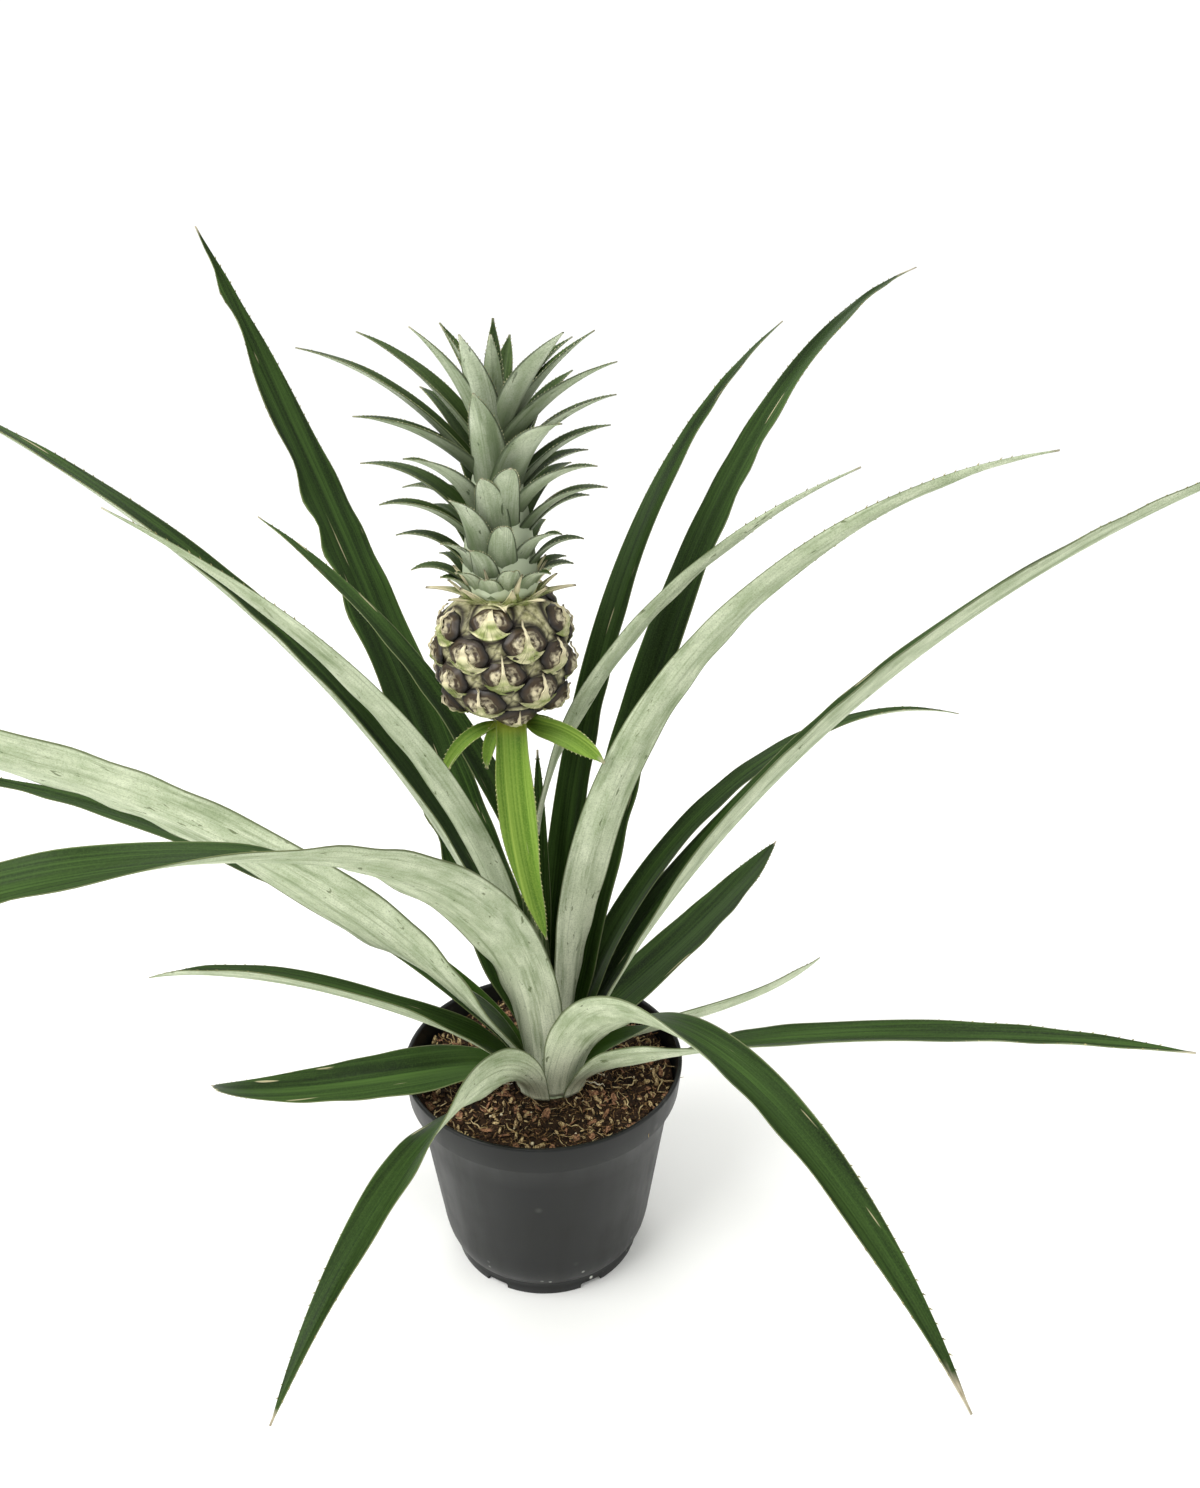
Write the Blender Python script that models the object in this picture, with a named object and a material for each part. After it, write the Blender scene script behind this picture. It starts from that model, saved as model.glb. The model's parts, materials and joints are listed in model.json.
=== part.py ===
"""A potted pineapple plant: a nursery pot of potting mix, a short stem wound about with long leaves, and on a
leaning stalk one small fruit with its crown. Metres, +Z up, the pot's axis on Z, its underside at Z = 0."""

import math

import bmesh
import bpy
import numpy as np

# ---------------------------------------------------------------- driving dimensions
RIM_R = 0.065  # outside radius of the pot at the rim
POT_H = 0.105  # height of the pot
COLLAR_H = 0.014  # height of the thicker band under the rim
FOOT_R = 0.0445  # outside radius of the foot ring
PLATE_Z = 0.0034  # underside of the raised bottom plate
FLOOR_Z = 0.0048  # inside floor of the pot
NOTCH_COUNT = 6  # drain notches in the foot ring, and drain holes in the plate
NOTCH_W = 0.011
NOTCH_H = 0.0030
HOLE_R = 0.004
HOLE_RING_R = 0.030
POT_SEGMENTS = 40

SOIL_Z = 0.0948  # level of the potting mix
SOIL_GAP = 0.0004  # clearance between the mix and the pot
SOIL_RELIEF = 0.0012

FOOT_X, FOOT_Y = 0.003, -0.005  # where the stem stands in the pot
STEM_HOLE_R = 0.0172
STEM_HOLE_Z = 0.076
STALK_R = 0.0047
STALK_FROM_Z = 0.118  # the stalk leans left from here up
STALK_SLOPE = -0.082
STALK_TOP_Z = 0.2824

FRUIT_Z = 0.283
FRUIT_H = 0.050
FRUIT_R = 0.0265
EYE_COUNT = 28
EYE_PHASE = math.radians(286.4)
EYE_R = 0.0095
EYE_RISE = 0.0032

CROWN_Z = 0.3335
CROWN_CORE = ((0.0135, 0.0), (0.0150, 0.003), (0.0145, 0.012), (0.0125, 0.028), (0.0095, 0.045), (0.0055, 0.060), (0.0035, 0.066))
# One row per crown blade: facing deg, height above the crown's foot mm, launch deg, droop deg, length mm, width mm
CROWN = (
    (265, 20, 76, 50, 40, 18), (282, 24, 70, 50, 44, 18), (25, 1, 62, 72, 19, 15), (70, 1, 60, 72, 20, 15), (115, 1, 60, 72, 20, 15), (150, 1, 62, 72, 20, 15),
    (190, 3, 48, 72, 24, 15), (205, 0, 66, 72, 15, 14), (233, 2, 70, 66, 17, 14), (259, 1, 72, 60, 14, 14),
    (286, 2, 72, 62, 19, 14), (318, 2, 66, 74, 19, 14), (345, 3, 60, 70, 21, 15), (225, 7, 76, 69, 25, 15),
    (252, 5, 76, 60, 25, 15), (278, 9, 78, 58, 32, 16), (350, 10, 58, 67, 26, 15), (180, 10, 52, 68, 32, 15),
    (322, 13, 64, 65, 26, 16), (242, 13, 78, 55, 38, 18), (60, 8, 60, 68, 26, 16), (105, 10, 60, 66, 28, 16),
    (140, 14, 54, 64, 32, 16), (85, 18, 60, 60, 34, 17), (198, 21, 50, 59, 40, 17), (10, 22, 54, 58, 30, 16),
    (345, 24, 54, 57, 40, 17), (168, 25, 50, 56, 52, 18), (48, 24, 56, 56, 38, 17), (150, 28, 34, 54, 38, 16),
    (222, 30, 62, 52, 44, 21), (120, 30, 58, 52, 42, 17), (328, 31, 54, 51, 44, 18), (95, 34, 62, 50, 44, 17),
    (260, 36, 80, 36, 50, 21), (25, 38, 44, 47, 34, 15), (300, 38, 58, 47, 58, 21), (5, 40, 52, 45, 44, 17),
    (65, 40, 60, 44, 48, 17), (135, 42, 58, 44, 50, 17), (200, 45, 46, 41, 54, 19), (184, 45, 54, 42, 82, 17),
    (350, 48, 52, 39, 50, 17), (40, 48, 62, 38, 46, 16), (110, 50, 66, 36, 48, 16), (213, 53, 75, 36, 57, 18),
    (248, 49, 81, 30, 55, 20), (165, 53, 56, 35, 66, 17), (335, 55, 52, 34, 58, 17), (308, 57, 62, 32, 60, 19),
    (80, 56, 72, 30, 44, 14), (5, 59, 62, 31, 52, 15), (272, 60, 84, 22, 40, 13), (140, 60, 70, 28, 46, 13),
    (20, 64, 60, 30, 42, 13), (92, 60, 87, 12, 42, 12), (265, 62, 89, 6, 34, 8), (184, 62, 78, 24, 41, 11),
)

LEAF_BASE_T = 0.0008  # leaf thickness at the root and at the tip
LEAF_TIP_T = 0.0006
SHEATH = 0.010  # length over which a root bends away from the stem
GOLDEN = math.radians(137.508)

# One row per leaf, from the lowest and outermost to the innermost:
# name: facing deg, root radius mm, root height mm, launch deg, droop deg, droop power, sway deg, length mm,
#       width mm, root width mm, roll deg, twist deg, gutter deg, taper power, roll start,
#       and where they differ from 0.28, 0.3 and 0.5: roll span, twist start, twist span
LEAVES = {
    "leaf_01": (246, 17.0, 96.0, 78, 117, 0.545, -2, 218, 28, 15.5, 75, -60, 42, 2.4, 0.02, 0.2, 0.25, 0.4),
    "leaf_02": (320, 17.0, 96.0, 36, 22, 1.44, 9, 286, 24, 16, -40, 34, 32, 4.0, 0.02, 0.12, 0.16, 0.25),
    "leaf_03": (195, 15.9, 97.5, 12, 42, 0.6, -72, 186, 28, 13.5, -20, 0, 15, 1.8, 0.06),
    "leaf_04": (298, 15.9, 97.5, 77, 114, 0.84, 2, 306, 31, 20, -34, 22, 54, 3.0, 0.02, 0.2, 0.2, 0.5),
    "leaf_05": (197, 14.9, 99.0, 37, 55, 2.0, -30, 185, 24, 15, 20, 6, 48, 7.0, 0.14),
    "leaf_06": (10, 14.8, 99.0, 9, 13, 0.9, 45, 148, 20, 14, -46, 0, 34, 6.0, 0.06),
    "leaf_07": (170, 13.7, 101.0, 54, 54, 0.7, -5, 330, 20, 16, 0, 0, 32, 3.0, 0.06),
    "leaf_08": (37, 13.7, 101.0, 20, 25, 2.0, 30, 182, 26, 18, 0, 0, 25, 2.8, 0.06),
    "leaf_09": (200, 12.6, 103.0, 54, 90, 1.83, -39, 440, 34, 18, 60, 0, 25, 6.0, 0.05, 0.23, 0.3, 0.5),
    "leaf_10": (11, 12.6, 103.0, 65, 48, 1.0, -10, 450, 36, 18, -25, 0, 48, 3.0, 0.06),
    "leaf_11": (245, 11.5, 105.5, 89, 151, 1.0, -110, 450, 30, 18, 45, -70, 36, 4.0, 0.05, 0.22, 0.3, 0.5),
    "leaf_12": (28, 11.5, 105.5, 72, 91, 1.3, -6, 280, 21, 15, -10, 0, 32, 3.0, 0.06),
    "leaf_13": (50, 10.4, 108.0, 72, 62, 2.1, -6, 440, 24, 14, 0, 0, 25, 2.4, 0.06),
    "leaf_14": (130, 10.4, 108.0, 57, -4, 1.6, 20, 410, 33, 14, 0, 0, 25, 3.2, 0.06),
    "leaf_15": (175, 9.3, 111.0, 85, 63, 0.8, -11, 400, 33, 14, 11, 0, 46, 3.0, 0.06),
    "leaf_16": (330, 9.3, 111.0, 88, 82, 1.6, 42, 370, 20, 15, -60, 0, 20, 2.4, 0.06),
    "leaf_17": (218, 8.2, 114.0, 86, 58, 1.2, -45, 318, 13, 12, 62, -16, 40, 5.0, 0.12, 0.28, 0.6, 0.4),
    "leaf_18": (62, 7.1, 118.0, 84, 57, 1.5, -20, 360, 22, 12, -12, 0, 48, 3.0, 0.06),
    "stalk_leaf_1": (93, 5.6, 150.0, 85, 14, 1.2, 0, 105, 10, 9, 0, 0, 32, 3.0, 0.06),
    "stalk_leaf_2": (355, 5.6, 225.0, 82, 58, 0.9, 8, 210, 9.5, 8, -60, 0, 25, 3.0, 0.06),
    "stalk_leaf_3": (143, 5.6, 208.0, 73, 52, 0.6, 1, 206, 18, 9, 8, 0, 42, 2.4, 0.06),
}
# The green bracts under the fruit, fused into the stalk, in the same columns.
BRACTS = (
    (274, 6.5, 279.5, -76, 0, 1.0, 90, 97, 19, 15, 15, 55, 38, 2.4, 0.06),
    (330, 3.2, 276.0, 20, 62, 1.0, 0, 44, 22, 9, 85, 0, 20, 2.2, 0.06),
    (202, 3.2, 275.0, 10, 85, 0.8, 0, 38, 13, 7, -30, 0, 32, 2.2, 0.06),
    (226, 3.2, 277.0, -25, 60, 0.5, 0, 22, 14, 7, -25, 0, 20, 2.4, 0.06),
    (20, 3.2, 275.0, 15, 70, 1.0, 0, 24, 9, 7, 0, 0, 30, 2.2, 0.06),
)

for old in list(bpy.data.objects):
    bpy.data.objects.remove(old, do_unlink=True)


# ---------------------------------------------------------------- helpers
def paint(name, colour, roughness):
    material = bpy.data.materials.new(name)
    material.use_nodes = True
    shader = material.node_tree.nodes["Principled BSDF"]
    shader.inputs["Base Color"].default_value = (*colour, 1.0)
    shader.inputs["Roughness"].default_value = roughness
    material.diffuse_color = (*colour, 1.0)
    return material


def make(name, points, faces, material, smooth=True):
    mesh = bpy.data.meshes.new(name)
    mesh.from_pydata([tuple(map(float, p)) for p in points], [], [tuple(map(int, f)) for f in faces])
    mesh.materials.append(material)
    for face in mesh.polygons:
        face.use_smooth = smooth
    obj = bpy.data.objects.new(name, mesh)
    bpy.context.scene.collection.objects.link(obj)
    return obj


def boolean(target, helpers, operation, solver):
    """Applies one Boolean of all the helpers to the target, then removes them."""
    group = bpy.data.collections.new("helpers")
    bpy.context.scene.collection.children.link(group)
    for helper in helpers:
        for user in list(helper.users_collection):
            user.objects.unlink(helper)
        group.objects.link(helper)
    step = target.modifiers.new("join", "BOOLEAN")
    step.operation = operation
    step.operand_type = "COLLECTION"
    step.collection = group
    step.solver = solver
    graph = bpy.context.evaluated_depsgraph_get()
    graph.update()
    result = bpy.data.meshes.new_from_object(target.evaluated_get(graph))
    target.modifiers.clear()
    target.data = result
    for helper in helpers:
        bpy.data.objects.remove(helper, do_unlink=True)
    bpy.data.collections.remove(group)
    return target


def revolve(profile, segments, centre=lambda z: (0.0, 0.0), relief=None):
    """Points and faces of a profile turned about an upright axis. It starts and ends on the axis."""
    angles = np.arange(segments) * 2 * math.pi / segments
    points, rows = [], []
    for r, z in profile:
        cx, cy = centre(z)
        if r == 0:
            rows.append([len(points)] * segments)
            points.append((cx, cy, z))
            continue
        rows.append(list(range(len(points), len(points) + segments)))
        for a in angles:
            rise = relief(r, a, z) if relief else 0.0
            points.append((cx + r * math.cos(a), cy + r * math.sin(a), z + rise))
    faces = []
    for low, high in zip(rows[:-1], rows[1:]):
        for i in range(segments):
            j = (i + 1) % segments
            face = [low[i], low[j], high[j], high[i]]
            face = [v for k, v in enumerate(face) if v not in face[:k]]
            faces.append(face)
    return points, faces


def stalk_x(z):
    return FOOT_X + STALK_SLOPE * max(0.0, z - STALK_FROM_Z)


def ease(x):
    x = np.clip(x, 0.0, 1.0)
    return x * x * (3 - 2 * x)


def crown_r(up):
    """Radius in mm at which a crown blade is rooted, by its height above the crown's foot."""
    return 13.5 - 11.0 * (up / 66) ** 1.3


def blade(row, segments, across, centre_x, tip_width=0.0012, launch=86.0, sheath=SHEATH, cup_tip=40.0):
    """A long leaf: it hugs the stem at its root, arches over and tapers to a point, with a gutter along it."""
    face, r0, z0, e1, droop, power, sway, length, width, root_w, roll, twist, cup, taper, start, span, at, over = (*row, 0.28, 0.3, 0.5)[:18] if len(row) < 18 else row
    r0, z0, length, width, root_w = (v / 1000 for v in (r0, z0, length, width, root_w))
    s = np.linspace(0, 1, 241)
    mid = (s[1:] + s[:-1]) / 2

    def rise(t):
        return np.radians(e1 - droop * t**power + (launch - e1) * np.exp(-t * length / sheath))

    def heading(t):
        return np.radians(face + sway * t**1.5)

    step = np.stack([np.cos(rise(mid)) * np.cos(heading(mid)), np.cos(rise(mid)) * np.sin(heading(mid)), np.sin(rise(mid))], -1)
    a = math.radians(face)
    root = np.array([centre_x + r0 * math.cos(a), FOOT_Y + r0 * math.sin(a), z0])
    path = np.vstack([root, root + np.cumsum(step, 0) * length / 240])
    t = np.linspace(0, 1, segments + 1)
    t = t * (1 - 0.35 * (1 - t))
    c = np.stack([np.interp(t, s, path[:, k]) for k in range(3)], -1)
    e, h = rise(t), heading(t)
    along = np.stack([np.cos(e) * np.cos(h), np.cos(e) * np.sin(h), np.sin(e)], -1)
    side = np.stack([-np.sin(h), np.cos(h), 0 * h], -1)
    up = np.cross(along, side)
    turn = np.radians(roll * ease((t - start) / span) + twist * ease((t - at) / over))[:, None]
    side, up = side * np.cos(turn) + up * np.sin(turn), up * np.cos(turn) - side * np.sin(turn)
    w = (root_w + (width - root_w) * ease(t * length / 0.045)) * np.clip(1 - t**taper, 0, 1) ** 0.955
    w = np.maximum(w, tip_width)
    root_cup = root_w / 2 / r0
    bend = root_cup + (math.radians(cup) - root_cup) * ease(t * length / 0.05)
    bend = bend + math.radians(cup_tip - cup) * ease((t - 0.6) / 0.4)
    arc = w / 2 / bend
    thick = LEAF_BASE_T + (LEAF_TIP_T - LEAF_BASE_T) * t
    phi = bend[:, None] * np.linspace(-1, 1, across)[None]
    skin = c[:, None] + side[:, None] * (arc[:, None] * np.sin(phi))[..., None] + up[:, None] * (arc[:, None] * (1 - np.cos(phi)))[..., None]
    normal = up[:, None] * np.cos(phi)[..., None] - side[:, None] * np.sin(phi)[..., None]
    half = (thick / 2)[:, None, None]
    points = np.concatenate([skin + normal * half, (skin - normal * half)[:, ::-1]], 1)
    ring = 2 * across
    index = np.arange((segments + 1) * ring).reshape(segments + 1, ring)
    faces = []
    for i in range(segments):
        for j in range(ring):
            k = (j + 1) % ring
            p, q, u, v = index[i, j], index[i, k], index[i + 1, k], index[i + 1, j]
            if j < across - 1 or j in (across - 1, ring - 1):
                faces += [(u, q, p), (v, u, p)]
            else:
                faces += [(v, q, p), (v, u, q)]
    for i in (0, segments):
        for j in range(across - 1):
            p, q, u, v = index[i, j], index[i, j + 1], index[i, ring - 2 - j], index[i, ring - 1 - j]
            faces += [(p, q, u), (p, u, v)] if i == 0 else [(u, q, p), (v, u, p)]
    return points.reshape(-1, 3), faces


LEAF = paint("leaf_green", (0.045, 0.10, 0.045), 0.5)
STEM = paint("stem_green", (0.28, 0.38, 0.09), 0.55)
RIND = paint("fruit_rind", (0.16, 0.12, 0.07), 0.5)
CROWN_GREEN = paint("crown_green", (0.22, 0.30, 0.22), 0.55)
PEAT = paint("potting_mix", (0.06, 0.03, 0.018), 0.95)
POT = paint("pot_plastic", (0.012, 0.013, 0.014), 0.4)

# ---------------------------------------------------------------- pot: a moulded nursery pot
collar_z = POT_H - COLLAR_H
outside = [
    (0.0, 0.0), (0.0165, 0.0), (0.0175, 0.001), (0.0175, PLATE_Z), (0.0405, PLATE_Z), (0.0405, 0.0006),
    (0.0411, 0.0), (FOOT_R - 0.0006, 0.0), (FOOT_R, 0.0006), (FOOT_R + 0.0003, 0.0075), (0.0464, 0.0086),
    (0.0480, 0.0118), (0.0496, 0.0170), (0.0508, 0.0245), (RIM_R - 0.0045, collar_z - 0.0010),
    (RIM_R - 0.0019, collar_z - 0.0003), (RIM_R - 0.0014, collar_z + 0.0006), (RIM_R, POT_H - 0.0010),
    (RIM_R - 0.0004, POT_H), (RIM_R - 0.0017, POT_H), (RIM_R - 0.0023, POT_H - 0.0009),
]
inside = [
    (RIM_R - 0.0040, collar_z), (RIM_R - 0.0060, collar_z - 0.0022), (0.0493, 0.0245), (0.0480, 0.0172),
    (0.0462, 0.0122), (0.0436, 0.0074), (0.0405, FLOOR_Z), (0.0, FLOOR_Z),
]
points, faces = revolve(outside + inside, POT_SEGMENTS)
pot = make("pot", points, faces, POT)
cutters = []
for i in range(NOTCH_COUNT):
    a = math.radians(-60 + 60 * i)
    box = [(x, y * NOTCH_W / 2, z) for x in (0.0385, 0.0475) for y in (-1, 1) for z in (-0.002, NOTCH_H)]
    box = [(x * math.cos(a) - y * math.sin(a), x * math.sin(a) + y * math.cos(a), z) for x, y, z in box]
    cutters.append(make(f"notch_{i}", box, [(0, 1, 3, 2), (4, 6, 7, 5), (0, 4, 5, 1), (2, 3, 7, 6), (0, 2, 6, 4), (1, 5, 7, 3)], POT))
    a += math.radians(30)
    cx, cy = HOLE_RING_R * math.cos(a), HOLE_RING_R * math.sin(a)
    drum, sides = revolve([(0, 0.001), (HOLE_R, 0.001), (HOLE_R, 0.009), (0, 0.009)], 14, lambda z: (cx, cy))
    cutters.append(make(f"hole_{i}", drum, sides, POT))
boolean(pot, cutters, "DIFFERENCE", "EXACT")

# ---------------------------------------------------------------- potting mix: a plug that fills the pot, with an uneven top
g = SOIL_GAP


def lumps(r, a, z):
    if z < SOIL_Z - 0.0008 or r < STEM_HOLE_R + 0.0005:
        return 0.0
    x, y = r * math.cos(a), r * math.sin(a)
    wave = math.sin(310 * x + 1.3) * math.sin(270 * y + 0.4) + 0.6 * math.sin(560 * x - 420 * y + 2.0)
    fade = min(1.0, (r - STEM_HOLE_R) / 0.012)
    return SOIL_RELIEF * 0.55 * wave * fade - 0.0008 * (1 - fade)


mix = [
    (0.0, FLOOR_Z + g), (0.0403, FLOOR_Z + g), (0.0432, 0.0074 + g), (0.0457, 0.0122 + g), (0.0475, 0.0172),
    (0.0488, 0.0245), (RIM_R - 0.0065, collar_z - 0.0022), (RIM_R - 0.0045, collar_z + 0.0004),
    (RIM_R - 0.0042, SOIL_Z - 0.0012), (RIM_R - 0.0050, SOIL_Z),
]
rings = [0.056, 0.051, 0.045, 0.039, 0.033, 0.027, 0.022, STEM_HOLE_R]
mix += [(r, SOIL_Z) for r in rings]
mix += [(STEM_HOLE_R, STEM_HOLE_Z), (0.0, STEM_HOLE_Z)]
points, faces = revolve(mix, 32, relief=lumps)
# The hole stands where the stem does, off the pot's axis, and the rings between drift over to it.
moved = []
for x, y, z in points:
    r = math.hypot(x, y)
    pull = 0.0 if z < STEM_HOLE_Z - 0.001 else max(0.0, min(1.0, (0.056 - r) / (0.056 - STEM_HOLE_R)))
    moved.append((x + FOOT_X * pull, y + FOOT_Y * pull, z))
make("potting_mix", moved, faces, PEAT)

# ---------------------------------------------------------------- stem: the short stem, the leaning stalk and the bracts under the fruit
steps = sorted({(row[2], row[1]) for name, row in LEAVES.items() if name.startswith("leaf")})
trunk = [(0.0, 0.0765), (0.0150, 0.0765), (0.0163, 0.0800), (0.0163, 0.0945)]
trunk += [((r - 0.9) / 1000, z / 1000) for z, r in steps]
trunk += [(STALK_R + 0.0004, 0.1225), (STALK_R, 0.150), (STALK_R, 0.200), (STALK_R, 0.250), (STALK_R + 0.0006, 0.270), (0.0080, 0.2805), (0.0080, STALK_TOP_Z), (0.0, STALK_TOP_Z)]
points, faces = revolve(trunk, 20, lambda z: (stalk_x(z), FOOT_Y))
stem = make("stem", points, faces, STEM)
bracts = []
for i, row in enumerate(BRACTS):
    points, faces = blade(row, 9 if i == 0 else 5, 5 if i == 0 else 3, stalk_x(row[2] / 1000), launch=30.0, sheath=0.004, cup_tip=30.0)
    bracts.append(make(f"bract_{i}", points, faces, STEM))
boolean(stem, bracts, "UNION", "MANIFOLD")

# ---------------------------------------------------------------- leaves: each one its own piece, seated on the stem
for name, row in LEAVES.items():
    count = 12 if name.startswith("leaf") else 9
    points, faces = blade(row, count, 5, stalk_x(row[2] / 1000))
    make(name, points, faces, LEAF)

# ---------------------------------------------------------------- fruit: a barrel of domed eyes, each with a pointed bract, and a dry frill on top
fx = stalk_x(FRUIT_Z + 0.02)
eyes = []
for i in range(EYE_COUNT):
    eyes.append((i * GOLDEN + EYE_PHASE, FRUIT_Z + FRUIT_H * (0.07 + 0.86 * (i + 0.5) / EYE_COUNT)))


def barrel(z):
    u = (z - FRUIT_Z) / FRUIT_H * 2 - 1
    return FRUIT_R * (1 - abs(u) ** 3.6 * 0.52)


rows = [(0.0, FRUIT_Z), (0.010, FRUIT_Z)]
for i in range(13):
    z = FRUIT_Z + 0.0006 + (FRUIT_H - 0.0012) * i / 12
    rows.append((barrel(z), z))
rows += [(0.010, FRUIT_Z + FRUIT_H), (0.0, FRUIT_Z + FRUIT_H)]
points, faces = revolve(rows, 40, lambda z: (fx, FOOT_Y))
bumped = []
for x, y, z in points:
    dx, dy = x - fx, y - FOOT_Y
    r, a = math.hypot(dx, dy), math.atan2(dy, dx)
    if r > 0.0105:
        nearest = min(math.hypot((((a - b + math.pi) % (2 * math.pi)) - math.pi) * r, z - h) for b, h in eyes)
        lift = EYE_RISE * (math.sqrt(max(0.0, 1 - (nearest / EYE_R) ** 2)) - 0.25)
        x, y = x + dx / r * lift, y + dy / r * lift
    bumped.append((x, y, z))
fruit = make("fruit", bumped, faces, RIND)
tips = []
for i, (a, z) in enumerate(eyes):
    row = (math.degrees(a), (barrel(z - 0.0062) - 0.0012) * 1000, (z - 0.0062) * 1000, 52, -30, 1.0, 0, 14, 12, 11, 0, 0, 24, 1.3, 0.06)
    if row[2] < FRUIT_Z * 1000 + 1.0:
        continue
    points, faces = blade(row, 2, 3, fx, launch=25.0, sheath=0.003, cup_tip=20.0, tip_width=0.0007)
    tips.append(make(f"tip_{i}", points, faces, RIND))
for i in range(16):
    a = 360 * i / 16 + (7 if i % 2 else 0)
    row = (a, 14.5 if i % 2 else 13.0, (FRUIT_Z + FRUIT_H) * 1000 - 2.8, 35 if i % 2 else 55, 30, 1.0, 0, 17 if i % 2 else 14, 7, 7, 0, 0, 20, 1.4, 0.06)
    points, faces = blade(row, 2, 3, fx, launch=40.0, sheath=0.003, cup_tip=20.0, tip_width=0.0007)
    tips.append(make(f"frill_{i}", points, faces, RIND))
boolean(fruit, tips, "UNION", "MANIFOLD")

# ---------------------------------------------------------------- crown: a core wrapped in blades, short and spreading below, long and upright above
cx = fx - 0.0005
core = [(0.0, CROWN_Z)] + [(r, CROWN_Z + h) for r, h in CROWN_CORE] + [(0.0, CROWN_Z + 0.068)]
points, faces = revolve(core, 12, lambda z: (cx, FOOT_Y))
crown = make("crown", points, faces, CROWN_GREEN)
blades = []
for i, (face, up, launch, droop, length, width) in enumerate(CROWN):
    row = (face, crown_r(up), CROWN_Z * 1000 + up, launch, droop, 1.4, 0, length, width, width * 0.82, 0, 0, 34, 2.0, 0.06)
    points, faces = blade(row, 5 if length > 70 else 3, 3, cx, launch=launch + 4, sheath=0.004, cup_tip=30.0, tip_width=0.0008)
    blades.append(make(f"blade_{i}", points, faces, CROWN_GREEN))
boolean(crown, blades, "UNION", "MANIFOLD")
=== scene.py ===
"""A potted pineapple plant dressed for looks: nursery pot, potting mix, stem and stalk, rosette, fruit and
crown. Metres, +Z up, the pot's axis on Z, its underside at Z = 0."""

import json
import math

import bmesh
import bpy
import numpy as np
from mathutils import Matrix, Vector, noise

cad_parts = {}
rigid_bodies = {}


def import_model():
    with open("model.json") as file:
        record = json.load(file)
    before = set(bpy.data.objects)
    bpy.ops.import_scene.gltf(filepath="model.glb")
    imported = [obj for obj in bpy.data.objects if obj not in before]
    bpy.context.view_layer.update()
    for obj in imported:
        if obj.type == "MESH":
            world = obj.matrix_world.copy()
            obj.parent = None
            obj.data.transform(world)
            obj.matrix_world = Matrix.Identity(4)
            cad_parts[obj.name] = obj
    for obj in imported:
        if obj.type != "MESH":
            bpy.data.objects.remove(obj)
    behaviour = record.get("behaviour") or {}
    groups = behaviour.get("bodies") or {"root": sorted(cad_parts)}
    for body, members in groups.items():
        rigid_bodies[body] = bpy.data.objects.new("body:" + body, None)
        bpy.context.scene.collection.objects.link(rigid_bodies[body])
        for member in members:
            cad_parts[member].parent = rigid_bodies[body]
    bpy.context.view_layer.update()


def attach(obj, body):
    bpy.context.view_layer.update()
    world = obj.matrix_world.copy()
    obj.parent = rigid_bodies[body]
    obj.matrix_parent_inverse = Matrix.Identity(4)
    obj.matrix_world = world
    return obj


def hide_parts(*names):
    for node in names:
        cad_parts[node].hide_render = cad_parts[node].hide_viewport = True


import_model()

# ================================================================ camera, floor and light
# A flat disc of matt white paper under the plant, one large soft light from the upper left, a smaller one
# from the right, one from behind, and a white room that lights more from above.


def hue(code):
    """A linear colour from an sRGB hex value."""
    parts = [int(code[i : i + 2], 16) / 255 for i in (1, 3, 5)]
    return tuple(p / 12.92 if p <= 0.04045 else ((p + 0.055) / 1.055) ** 2.4 for p in parts) + (1.0,)


def add(tree, kind, inputs=None, **settings):
    """Adds one node with its settings; an input is a value, or a socket to link."""
    made = tree.nodes.new(kind)
    for key, value in settings.items():
        setattr(made, key, value)
    for key, value in (inputs or {}).items():
        if isinstance(value, bpy.types.NodeSocket):
            tree.links.new(value, made.inputs[key])
        else:
            made.inputs[key].default_value = value
    return made


def finish(name, **constants):
    """A new material and its shader, with the shader's even values set on its own sockets."""
    material = bpy.data.materials.new(name)
    material.use_nodes = True
    shader = material.node_tree.nodes["Principled BSDF"]
    for key, value in constants.items():
        shader.inputs[key.replace("_", " ").title().replace("Ior", "IOR")].default_value = value
    return material, material.node_tree, shader


def make(name, points, faces, materials, slots=None, fields=None):
    """A mesh object from points and faces, with named values on its points."""
    mesh = bpy.data.meshes.new(name)
    mesh.from_pydata([tuple(map(float, p)) for p in points], [], [tuple(map(int, f)) for f in faces])
    for material in materials:
        mesh.materials.append(material)
    if slots is not None:
        mesh.polygons.foreach_set("material_index", np.asarray(slots, np.int32))
    mesh.polygons.foreach_set("use_smooth", np.ones(len(mesh.polygons), bool))
    for key, values in (fields or {}).items():
        values = np.asarray(values, np.float32)
        kind, slot = ("FLOAT_VECTOR", "vector") if values.ndim == 2 else ("FLOAT", "value")
        mesh.attributes.new(key, kind, "POINT").data.foreach_set(slot, values.ravel())
    obj = bpy.data.objects.new(name, mesh)
    bpy.context.scene.collection.objects.link(obj)
    return obj


# A moderately wide lens half a metre in front of the plant and 49 cm up, looking 24 degrees down.
view = bpy.data.cameras.new("camera")
view.lens, view.sensor_width, view.clip_end = 31.45, 36.0, 20.0
camera = bpy.data.objects.new("camera", view)
camera.location = (0.0264, -0.4957, 0.490)
camera.rotation_euler = (math.radians(90 - 24.42), 0, 0)
bpy.context.scene.collection.objects.link(camera)
bpy.context.scene.camera = camera
bpy.context.scene.view_settings.view_transform = "Standard"
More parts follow.
